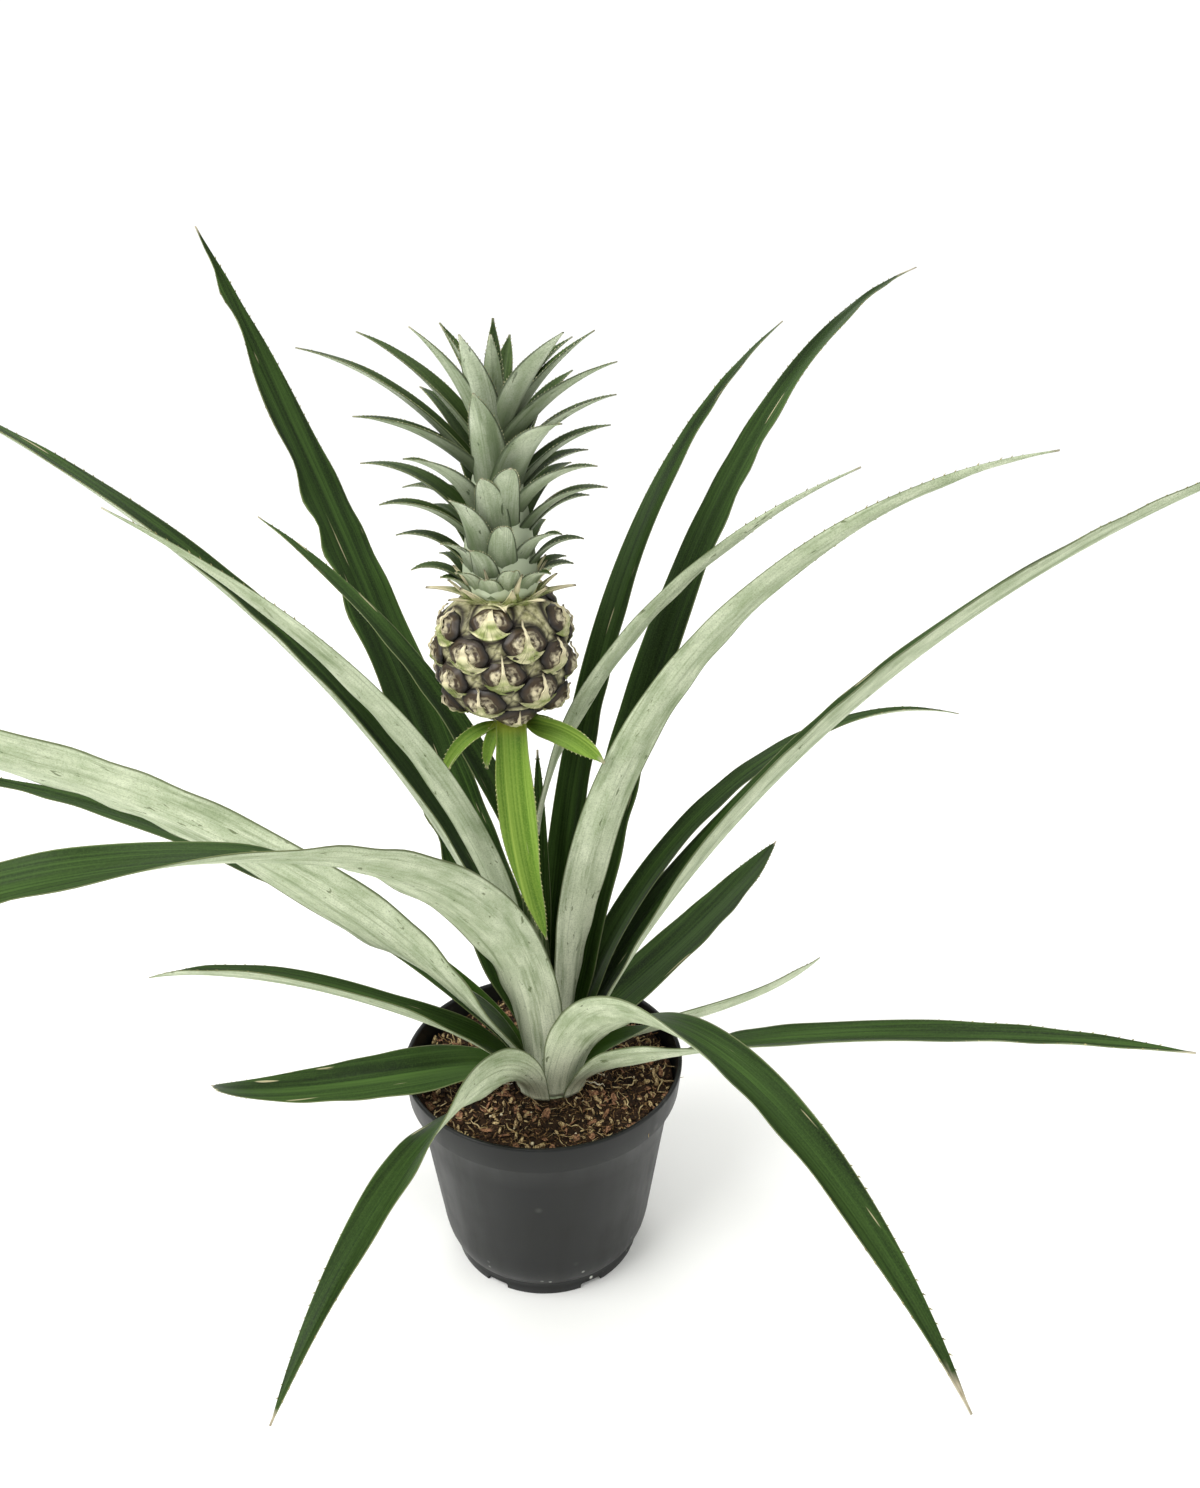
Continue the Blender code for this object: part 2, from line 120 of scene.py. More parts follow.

# Matt white paper laid flat: even, a little rough, with a faint mottle.
paper, tree, shader = finish("matt_white_paper", roughness=0.9)
mottle = add(tree, "ShaderNodeTexNoise", {"Scale": 3.0, "Detail": 2.0})
tint = add(
    tree, "ShaderNodeMix", {0: mottle.outputs["Fac"], 6: hue("#f6f6f3"), 7: hue("#fafaf8")},
    data_type="RGBA",
)
tree.links.new(tint.outputs[2], shader.inputs["Base Color"])
SWEEP_R, SWEEP_SIDES = 1.5, 48
turns = np.arange(SWEEP_SIDES) * 2 * math.pi / SWEEP_SIDES
points = [(SWEEP_R * math.cos(a), SWEEP_R * math.sin(a), 0) for a in turns]
faces = [range(SWEEP_SIDES)]
make("floor", points, faces, [paper])

# name, place, width in metres, power in watts
LAMPS = (
    ("soft_key", (-1.3, -1.0, 1.9), 1.7, 54.0),
    ("soft_fill", (1.8, -0.5, 1.1), 1.2, 7.0),
    ("soft_back", (-0.3, 1.7, 1.8), 1.4, 10.0),
)
for name, place, size, power in LAMPS:
    lamp = bpy.data.lights.new(name, "AREA")
    lamp.shape, lamp.size, lamp.energy = "DISK", size, power
    light = bpy.data.objects.new(name, lamp)
    light.location = place
    aim = Vector((0, 0, 0.2)) - Vector(place)
    light.rotation_euler = aim.to_track_quat("-Z", "Y").to_euler()
    bpy.context.scene.collection.objects.link(light)
room = bpy.data.worlds.new("white_room")
room.use_nodes = True
bpy.context.scene.world = room
tree = room.node_tree
seen = add(tree, "ShaderNodeBackground", {"Color": (1, 1, 1, 1), "Strength": 1.1})
where = add(tree, "ShaderNodeTexCoord")
axes = add(tree, "ShaderNodeSeparateXYZ", {0: where.outputs["Generated"]})
height = add(
    tree, "ShaderNodeMapRange",
    {"Value": axes.outputs[2], "From Min": 0.0, "From Max": 1.0, "To Min": 0.30, "To Max": 1.15},
)
even = add(tree, "ShaderNodeBackground", {"Color": (1, 1, 1, 1), "Strength": height.outputs[0]})
path = add(tree, "ShaderNodeLightPath")
both = add(
    tree, "ShaderNodeMixShader", {0: path.outputs["Is Camera Ray"], 1: even.outputs[0], 2: seen.outputs[0]},
)
tree.links.new(both.outputs[0], tree.nodes["World Output"].inputs["Surface"])

# ================================================================ pot
# A 13 cm nursery pot, injection moulded in black polypropylene: a straight collar, a tapering wall, and a
# foot ring with six drain notches under a raised plate with six drain holes.
RIM_R, POT_H, COLLAR_H, FOOT_R, PLATE_Z, FLOOR_Z = 0.065, 0.105, 0.014, 0.0445, 0.0034, 0.0048
NOTCH_COUNT, NOTCH_W, NOTCH_H = 6, 0.011, 0.0030
HOLE_R, HOLE_RING_R = 0.004, 0.030
collar_z = POT_H - COLLAR_H
POT_SIDES = 180

# Radius and height: the underside with its raised plate, the foot ring, the wall, the collar and the lip.
underside = [
    (0.0, 0.0), (0.0162, 0.0), (0.0171, 0.0003), (0.0175, 0.001), (0.0175, PLATE_Z - 0.0004),
    (0.0179, PLATE_Z), (0.0401, PLATE_Z), (0.0405, PLATE_Z - 0.0004), (0.0405, 0.0006), (0.0407, 0.0002),
]
foot = [
    (0.0411, 0.0), (FOOT_R - 0.0006, 0.0), (FOOT_R - 0.0002, 0.0002), (FOOT_R, 0.0006),
    (FOOT_R + 0.0002, 0.0045), (FOOT_R + 0.0003, 0.0074), (FOOT_R + 0.0008, 0.0080), (0.0464, 0.0088),
]
wall = [
    (0.0472, 0.0102), (0.0480, 0.0118), (0.0489, 0.0142), (0.0496, 0.0170), (0.0503, 0.0207),
    (0.0508, 0.0245), (0.0533, 0.0420), (0.0558, 0.0600), (0.0582, 0.0760),
]
# The collar's step and its lip: how far inside the rim, and the height.
step = [
    (0.0046, -0.0014), (0.0043, -0.0009), (0.0036, -0.0006), (0.0022, -0.0003), (0.0016, 0.0),
    (0.0014, 0.0007),
]
lip = [
    (0.0001, -0.0013), (0.0001, -0.0006), (0.0005, -0.0001), (0.0010, 0.0), (0.0016, -0.0001),
    (0.0021, -0.0006), (0.0023, -0.0014),
]
collar = [(RIM_R - r, collar_z + z) for r, z in step] + [(RIM_R - 0.0007, collar_z + 0.0070)]
collar += [(RIM_R - r, POT_H + z) for r, z in lip]
inside = [
    (RIM_R - 0.0030, collar_z + 0.0060), (RIM_R - 0.0038, collar_z + 0.0006),
    (RIM_R - 0.0045, collar_z - 0.0008), (RIM_R - 0.0058, collar_z - 0.0018), (0.0567, 0.0740),
    (0.0530, 0.0490), (0.0493, 0.0245), (0.0480, 0.0172), (0.0462, 0.0122), (0.0436, 0.0074),
    (0.0405, FLOOR_Z), (0.0, FLOOR_Z),
]


def turned(profile, sides, centre=lambda z: (0.0, 0.0)):
    """Points and faces of a profile turned about an upright axis; it starts and ends on the axis."""
    angles = np.arange(sides) * 2 * math.pi / sides
    points, rows, faces = [], [], []
    for r, z in profile:
        x, y = centre(z)
        rows.append([len(points)] * sides if r == 0 else list(range(len(points), len(points) + sides)))
        points += [(x, y, z)] if r == 0 else [(x + r * math.cos(a), y + r * math.sin(a), z) for a in angles]
    for low, high in zip(rows[:-1], rows[1:]):
        for i in range(sides):
            j = (i + 1) % sides
            faces.append(tuple(dict.fromkeys((low[i], low[j], high[j], high[i]))))
    return points, faces


# Moulded polypropylene: nearly black with a satin skin, dust in vertical wipes, a few pale rubs, and dried
# lime spots low on the wall where water ran out. Its moulded grain is drawn at 0.7 mm, coarse enough to
# show.
poly, tree, shader = finish("moulded_polypropylene", roughness=0.42, ior=1.49, specular_ior_level=0.3)
where = add(tree, "ShaderNodeTexCoord")
upright = add(
    tree, "ShaderNodeMapping",
    {"Vector": where.outputs["Object"], "Scale": (1000 / 11, 1000 / 11, 1000 / 110)},
)
wipe = add(
    tree, "ShaderNodeTexNoise",
    {"Vector": upright.outputs[0], "Scale": 1.0, "Detail": 4.0, "Roughness": 0.6},
)
cloud = add(
    tree, "ShaderNodeTexNoise", {"Vector": where.outputs["Object"], "Scale": 1000 / 30, "Detail": 3.0},
)
dust = add(tree, "ShaderNodeMath", {0: wipe.outputs["Fac"], 1: cloud.outputs["Fac"]}, operation="MULTIPLY")
dust = add(tree, "ShaderNodeMapRange", {"Value": dust.outputs[0], "From Min": 0.16, "From Max": 0.42})
plain = add(
    tree, "ShaderNodeMix", {0: dust.outputs[0], 6: hue("#0c0e0e"), 7: hue("#191a18")}, data_type="RGBA",
)
spot = add(tree, "ShaderNodeTexVoronoi", {"Vector": where.outputs["Object"], "Scale": 1000 / 4.8})
near = add(
    tree, "ShaderNodeMapRange", {"Value": spot.outputs["Distance"], "From Min": 0.22, "From Max": 0.12},
)
split = add(tree, "ShaderNodeSeparateColor", {0: spot.outputs["Color"]})
pick = add(tree, "ShaderNodeMapRange", {"Value": split.outputs[0], "From Min": 0.28, "From Max": 0.34})
axes = add(tree, "ShaderNodeSeparateXYZ", {0: where.outputs["Object"]})
low = add(tree, "ShaderNodeMapRange", {"Value": axes.outputs[2], "From Min": 0.020, "From Max": 0.010})
patch = add(
    tree, "ShaderNodeTexNoise", {"Vector": where.outputs["Object"], "Scale": 1000 / 38, "Detail": 1.0},
)
patch = add(tree, "ShaderNodeMapRange", {"Value": patch.outputs["Fac"], "From Min": 0.47, "From Max": 0.55})
lime = add(tree, "ShaderNodeMath", {0: near.outputs[0], 1: pick.outputs[0]}, operation="MULTIPLY")
lime = add(tree, "ShaderNodeMath", {0: lime.outputs[0], 1: low.outputs[0]}, operation="MULTIPLY")
lime = add(tree, "ShaderNodeMath", {0: lime.outputs[0], 1: patch.outputs[0]}, operation="MULTIPLY")
rub = add(
    tree, "ShaderNodeTexVoronoi", {"Vector": where.outputs["Object"], "Scale": 1000 / 18, "Randomness": 1.0},
)
rubbed = add(
    tree, "ShaderNodeMapRange",
    {"Value": rub.outputs["Distance"], "From Min": 0.12, "From Max": 0.02, "To Max": 0.2},
)
marked = add(
    tree, "ShaderNodeMix", {0: rubbed.outputs[0], 6: plain.outputs[2], 7: hue("#70736c")}, data_type="RGBA",
)
final = add(
    tree, "ShaderNodeMix", {0: lime.outputs[0], 6: marked.outputs[2], 7: hue("#cfd2c8")}, data_type="RGBA",
)
tree.links.new(final.outputs[2], shader.inputs["Base Color"])
skin = add(tree, "ShaderNodeMapRange", {"Value": dust.outputs[0], "To Min": 0.38, "To Max": 0.56})
tree.links.new(skin.outputs[0], shader.inputs["Roughness"])
grit = add(
    tree, "ShaderNodeTexNoise", {"Vector": where.outputs["Object"], "Scale": 1000 / 0.7, "Detail": 2.0},
)
bump = add(tree, "ShaderNodeBump", {"Strength": 0.10, "Distance": 0.0002, "Height": grit.outputs["Fac"]})
tree.links.new(bump.outputs[0], shader.inputs["Normal"])

points, faces = turned(underside + foot + wall + collar + inside, POT_SIDES)
pot = make("pot_shell", points, faces, [poly])
cutters = []
half = [
    (NOTCH_W / 2, -0.002), (NOTCH_W / 2, NOTCH_H - 0.0009), (NOTCH_W / 2 - 0.0004, NOTCH_H - 0.0003),
    (NOTCH_W / 2 - 0.0011, NOTCH_H),
]
section = [(-half[0][0], half[0][1])] + half + [(-y, z) for y, z in half[:0:-1]]
for i in range(NOTCH_COUNT):
    a = math.radians(-60 + 360 / NOTCH_COUNT * i)
    cos, sin = math.cos(a), math.sin(a)
    shape = [(x * cos - y * sin, x * sin + y * cos, z) for x in (0.0385, 0.0475) for y, z in section]
    sides = [tuple(range(8))[::-1], tuple(range(8, 16))]
    sides += [(k, (k + 1) % 8, 8 + (k + 1) % 8, 8 + k) for k in range(8)]
    cutters.append(make(f"notch_{i}", shape, sides, []))
    a += math.radians(180 / NOTCH_COUNT)
    x, y = HOLE_RING_R * math.cos(a), HOLE_RING_R * math.sin(a)
    drum, sides = turned([(0, 0.001), (HOLE_R, 0.001), (HOLE_R, 0.009), (0, 0.009)], 24, lambda z: (x, y))
    cutters.append(make(f"hole_{i}", drum, sides, []))
group = bpy.data.collections.new("drainage")
for cutter in cutters:
    bpy.context.scene.collection.objects.unlink(cutter)
    group.objects.link(cutter)
cut = pot.modifiers.new("drainage", "BOOLEAN")
cut.operation, cut.operand_type, cut.collection, cut.solver = "DIFFERENCE", "COLLECTION", group, "EXACT"
graph = bpy.context.evaluated_depsgraph_get()
drained = bpy.data.meshes.new_from_object(pot.evaluated_get(graph))
pot.modifiers.clear()
pot.data = drained
for cutter in cutters:
    bpy.data.objects.remove(cutter, do_unlink=True)
bpy.data.collections.remove(group)
pot.data.shade_smooth()
pot.data.set_sharp_from_angle(angle=math.radians(42))
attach(pot, "root")
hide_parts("pot")

# ================================================================ potting mix
# A plug of peat and coir that fills the pot to a centimetre under the rim, with loose fibres, bark chips and
# cream granules lying in its crumbly top, and a few white rootlets at the foot of the plant.
SOIL_Z, SOIL_GAP, STEM_HOLE_R, STEM_HOLE_Z = 0.0948, 0.0004, 0.0172, 0.076
FOOT_X, FOOT_Y = 0.003, -0.005  # where the stem stands, off the pot's axis


def relief(x, y):
    """Height of the crumbly top over its mean level."""
    wave = math.sin(310 * x + 1.3) * math.sin(270 * y + 0.4) + 0.6 * math.sin(560 * x - 420 * y + 2.0)
    crumbs = ((160, 3.0, 0.0011), (420, 7.0, 0.0008), (900, 1.0, 0.0004))
    return 0.00066 * wave + sum(h * noise.noise(Vector((x * n, y * n, at))) for n, at, h in crumbs)


rim_in = RIM_R - 0.0050
around, steps = 220, 52
radii = [rim_in + (STEM_HOLE_R - rim_in) * k / steps for k in range(steps + 1)]
plug = [
    (0.0, FLOOR_Z + SOIL_GAP), (0.0403, FLOOR_Z + SOIL_GAP), (0.0432, 0.0078), (0.0457, 0.0126),
    (0.0475, 0.0172), (0.0488, 0.0245), (RIM_R - 0.0065, collar_z - 0.0022),
    (RIM_R - 0.0045, collar_z + 0.0004), (RIM_R - 0.0042, SOIL_Z - 0.0016),
]
plug += [(r, SOIL_Z) for r in radii] + [(STEM_HOLE_R, STEM_HOLE_Z), (0.0, STEM_HOLE_Z)]
points, faces = turned(plug, around)
moved = []
for x, y, z in points:
    r = math.hypot(x, y)
    pull = 0.0 if z < STEM_HOLE_Z - 0.001 else max(0.0, min(1.0, (0.056 - r) / (0.056 - STEM_HOLE_R)))
    x, y = x + FOOT_X * pull, y + FOOT_Y * pull
    if z > SOIL_Z - 0.0005:
        z += relief(x, y) * min(1.0, (r - STEM_HOLE_R) / 0.004 + 0.2)
    moved.append((x, y, z))

# Peat and coir: almost black brown crumbs, never shiny, mottled every 2 to 8 mm with redder coir dust.
peat, tree, shader = finish("peat_and_coir", roughness=0.95, specular_ior_level=0.2)
where = add(tree, "ShaderNodeTexCoord")
coarse = add(
    tree, "ShaderNodeTexNoise",
    {"Vector": where.outputs["Object"], "Scale": 1000 / 4.5, "Detail": 5.0, "Roughness": 0.7},
)
fine = add(
    tree, "ShaderNodeTexNoise", {"Vector": where.outputs["Object"], "Scale": 1000 / 1.3, "Detail": 3.0},
)
depth = add(tree, "ShaderNodeMapRange", {"Value": coarse.outputs["Fac"], "From Min": 0.36, "From Max": 0.66})
brown = add(
    tree, "ShaderNodeMix", {0: depth.outputs[0], 6: hue("#0f0a06"), 7: hue("#3a281a")}, data_type="RGBA",
)
fleck = add(tree, "ShaderNodeMapRange", {"Value": fine.outputs["Fac"], "From Min": 0.62, "From Max": 0.72})
flecked = add(
    tree, "ShaderNodeMix", {0: fleck.outputs[0], 6: brown.outputs[2], 7: hue("#7a603f")}, data_type="RGBA",
)
tree.links.new(flecked.outputs[2], shader.inputs["Base Color"])
bump = add(tree, "ShaderNodeBump", {"Strength": 0.9, "Distance": 0.0008, "Height": coarse.outputs["Fac"]})
tree.links.new(bump.outputs[0], shader.inputs["Normal"])
mix = make("potting_mix_plug", moved, faces, [peat])
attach(mix, "root")
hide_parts("potting_mix")


def stuff(name, dark, light, grain, roughness):
    """Dry plant matter or mineral in the mix: an uneven tone from one colour to another every grain mm."""
    material, tree, shader = finish(name, roughness=roughness, specular_ior_level=0.25)
    where = add(tree, "ShaderNodeTexCoord")
    tone = add(
        tree, "ShaderNodeTexNoise",
        {"Vector": where.outputs["Object"], "Scale": 1000 / grain, "Detail": 3.0},
    )
    reach = add(
        tree, "ShaderNodeMapRange", {"Value": tone.outputs["Fac"], "From Min": 0.36, "From Max": 0.64},
    )
    blend = add(tree, "ShaderNodeMix", {0: reach.outputs[0], 6: hue(dark), 7: hue(light)}, data_type="RGBA")
    tree.links.new(blend.outputs[2], shader.inputs["Base Color"])
    bump = add(tree, "ShaderNodeBump", {"Strength": 0.5, "Distance": 0.0003, "Height": tone.outputs["Fac"]})
    tree.links.new(bump.outputs[0], shader.inputs["Normal"])
    return material


def strand(length, radius, curl, seed, sides=4, steps=6):
    """A bent fibre lying along X, as points and faces."""
    rng = np.random.default_rng(seed)
    bend = np.cumsum(rng.normal(0, curl, (steps + 1, 2)), 0)
    x = (np.linspace(0, 1, steps + 1) - 0.5) * length
    points, faces = [], []
    for i in range(steps + 1):
        r = radius * (1 - 0.6 * abs(i / steps - 0.45) * 2)
        for k in range(sides):
            a = 2 * math.pi * k / sides
            points.append((x[i], bend[i, 0] + r * math.cos(a), bend[i, 1] * 0.35 + r * math.sin(a)))
    for i in range(steps):
        for k in range(sides):
            j = (k + 1) % sides
            faces.append((i * sides + k, (i + 1) * sides + k, (i + 1) * sides + j, i * sides + j))
    faces += [tuple(range(sides)), tuple(range(steps * sides, (steps + 1) * sides))[::-1]]
    return points, faces


def lump(size, squash, seed):
    """An angular crumb or chip."""
    rng = np.random.default_rng(seed)
    shape = bmesh.new()
    bmesh.ops.create_icosphere(shape, subdivisions=1, radius=1.0)
    for v in shape.verts:
        v.co = Vector(v.co) * float(rng.uniform(0.62, 1.12))
        v.co.x, v.co.y, v.co.z = v.co.x * size[0], v.co.y * size[1], v.co.z * size[2] * squash
    points = [tuple(v.co) for v in shape.verts]
    faces = [tuple(v.index for v in f.verts) for f in shape.faces]
    shape.free()
    return points, faces


def scatter_tree():
    """Points spread over a surface, each carrying one of a few shapes, turned and sized at random."""
    tree = bpy.data.node_groups.new("scatter", "GeometryNodeTree")
    face = tree.interface
    face.new_socket("Surface", in_out="INPUT", socket_type="NodeSocketGeometry")
    kinds_of = {"Shapes": "Collection", "Seed": "Int", "Finish": "Material"}
    for label in ("Shapes", "Density", "Spacing", "Smallest", "Largest", "Tilt", "Lift", "Seed", "Finish"):
        face.new_socket(label, in_out="INPUT", socket_type="NodeSocket" + kinds_of.get(label, "Float"))
    face.new_socket("Bits", in_out="OUTPUT", socket_type="NodeSocketGeometry")
    start = add(tree, "NodeGroupInput").outputs
    share = add(tree, "GeometryNodeInputNamedAttribute", {"Name": "share"}, data_type="FLOAT")
    spread = add(
        tree, "GeometryNodeDistributePointsOnFaces",
        {
            "Mesh": start["Surface"], "Distance Min": start["Spacing"], "Density Max": start["Density"],
            "Density Factor": share.outputs[0], "Seed": start["Seed"],
        },
        distribute_method="POISSON",
    )
    shapes = add(
        tree, "GeometryNodeCollectionInfo",
        {"Collection": start["Shapes"], "Separate Children": True, "Reset Children": True},
    )
    lean = add(tree, "ShaderNodeCombineXYZ", {0: start["Tilt"], 1: start["Tilt"], 2: 3.1416})
    back = add(
        tree, "ShaderNodeVectorMath", {0: lean.outputs[0], 1: (-1.0, -1.0, -1.0)}, operation="MULTIPLY",
    )
    turn = add(
        tree, "FunctionNodeRandomValue", {0: back.outputs[0], 1: lean.outputs[0], "Seed": start["Seed"]},
        data_type="FLOAT_VECTOR",
    )
    spin = add(
        tree, "FunctionNodeRotateRotation", {0: spread.outputs["Rotation"], 1: turn.outputs[0]},
        rotation_space="LOCAL",
    )
    size = add(
        tree, "FunctionNodeRandomValue", {2: start["Smallest"], 3: start["Largest"], "Seed": start["Seed"]},
        data_type="FLOAT",
    )
    raised = add(
        tree, "ShaderNodeVectorMath", {0: spread.outputs["Normal"], "Scale": start["Lift"]},
        operation="SCALE",
    )
    lifted = add(
        tree, "GeometryNodeSetPosition", {"Geometry": spread.outputs["Points"], "Offset": raised.outputs[0]},
    )
    laid = add(
        tree, "GeometryNodeInstanceOnPoints",
        {
            "Points": lifted.outputs[0], "Instance": shapes.outputs[0], "Pick Instance": True,
            "Rotation": spin.outputs[0], "Scale": size.outputs[1],
        },
    )
    real = add(tree, "GeometryNodeRealizeInstances", {0: laid.outputs[0]})
    dressed = add(tree, "GeometryNodeSetMaterial", {"Geometry": real.outputs[0], "Material": start["Finish"]})
    add(tree, "NodeGroupOutput", {0: dressed.outputs[0]})
    return tree


def grow(name, host, tree, values, smooth=True):
    """Runs a node tree on a host mesh and keeps the result as a plain mesh object."""
    step = host.modifiers.new(name, "NODES")
    step.node_group = tree
    for item in tree.interface.items_tree:
        if item.in_out == "INPUT" and item.name in values:
            step[item.identifier] = values[item.name]
    host.update_tag()
    graph = bpy.context.evaluated_depsgraph_get()
    graph.update()
    mesh = bpy.data.meshes.new_from_object(host.evaluated_get(graph))
    host.modifiers.remove(step)
    mesh.polygons.foreach_set("use_smooth", np.full(len(mesh.polygons), smooth))
    obj = bpy.data.objects.new(name, mesh)
    bpy.context.scene.collection.objects.link(obj)
    return obj


def kinds(name, shapes):
    """A collection of small shapes for a tree to pick from, kept out of the picture."""
    group = bpy.data.collections.new(name)
    for i, (points, faces, *form) in enumerate(shapes):
        shape = make(f"{name}_{i}", points, faces, [], fields={"form": form[0]} if form else None)
        bpy.context.scene.collection.objects.unlink(shape)
        group.objects.link(shape)
    return group


def clear(group):
    """Removes a collection of small shapes that is no longer needed."""
    for shape in list(group.objects):
        bpy.data.objects.remove(shape, do_unlink=True)
    bpy.data.collections.remove(group)


def from_foot(spot):
    """Level distance of a spot from the plant's foot."""
    return math.hypot(spot.x - FOOT_X, spot.y - FOOT_Y)


# The beds that loose bits lie on: the plug's top, all of it or only within 24 mm of the plant's foot.
top = []
for f in mix.data.polygons:
    if f.center.z > SOIL_Z - 0.003 and math.hypot(*f.center[:2]) < rim_in - 0.0008:
        if from_foot(f.center) > STEM_HOLE_R - 0.0005:
            top.append(f)
used = sorted({v for f in top for v in f.vertices})
order = {v: i for i, v in enumerate(used)}
spots = [mix.data.vertices[v].co for v in used]
faces = [[order[v] for v in f.vertices] for f in top]
bed = make("bed", spots, faces, [], fields={"share": np.ones(len(used))})
near_foot = np.array([1.0 if from_foot(spot) < 0.024 else 0.0 for spot in spots])
foot_bed = make("foot_bed", spots, faces, [], fields={"share": near_foot})
scatter = scatter_tree()
# name: bed, shapes; darkest tone, lightest tone, their grain in mm, roughness; bits per square metre,
# spacing, smallest and largest size, tilt in radians, lift, seed
LOOSE = {
    "coir_fibres": (
        bed, [strand(0.0054, 0.00024, 0.0006, s) for s in range(5)],
        ("#33231a", "#94744a", 0.9, 0.85), (110000.0, 0.0015, 0.4, 1.5, 0.6, 0.0005, 3),
    ),
    "pale_straws": (
        bed, [strand(0.0078, 0.00028, 0.0012, s) for s in range(10, 14)],
        ("#94794e", "#dcc998", 3.0, 0.7), (22000.0, 0.0030, 0.5, 1.5, 0.55, 0.0010, 11),
    ),
    "peat_crumbs": (
        bed, [lump((0.0013, 0.0010, 0.0009), 0.9, s) for s in range(20, 26)],
        ("#150d08", "#46301e", 1.2, 0.95), (80000.0, 0.0018, 0.6, 1.6, 1.4, 0.0003, 5),
    ),
    "bark_chips": (
        bed, [lump((0.0030, 0.0015, 0.0008), 0.42, s) for s in range(30, 36)],
        ("#3c2619", "#a87c5c", 1.0, 0.8), (24000.0, 0.0030, 0.4, 1.5, 0.8, 0.0009, 8),
    ),
    "tan_flakes": (
        bed, [lump((0.0022, 0.0009, 0.0004), 0.5, s) for s in range(60, 66)],
        ("#5f482e", "#d4bb8a", 0.7, 0.85), (60000.0, 0.0021, 0.3, 1.5, 1.0, 0.0010, 14),
    ),
    "cream_granules": (
        bed, [lump((0.0009, 0.0008, 0.0007), 1.0, s) for s in range(40, 44)],
        ("#b3a37e", "#e3d9bb", 1.0, 0.85), (2500.0, 0.005, 0.5, 1.2, 1.5, 0.0009, 4),
    ),
    "white_rootlets": (
        foot_bed, [strand(0.012, 0.00032, 0.0016, s, steps=9) for s in range(50, 54)],
        ("#cfc8ac", "#f0ecd8", 3.0, 0.6), (20000.0, 0.005, 0.6, 1.1, 0.45, 0.0012, 2),
    ),
}
labels = ("Density", "Spacing", "Smallest", "Largest", "Tilt", "Lift", "Seed")
for name, (host, shapes, colours, amounts) in LOOSE.items():
    material = stuff(name + "_dry", *colours)
    group = kinds(name + "_kinds", shapes)
    values = {"Shapes": group, "Finish": material, **dict(zip(labels, amounts))}
    bits = grow(name, host, scatter, values, smooth=name != "bark_chips")
    clear(group)
    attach(bits, "root")
bpy.data.objects.remove(bed, do_unlink=True)
bpy.data.objects.remove(foot_bed, do_unlink=True)

# ================================================================ rosette leaves
# Long stiff leaves spiralling up a short stem, each rolled into a gutter: dark waxy green above, silver with
# fine scales below, with a pale base, small spines towards the tip and dry straw points.

STALK_FROM_Z, STALK_SLOPE = 0.118, -0.082
SHEATH = 0.010  # length over which a leaf turns away from the stem

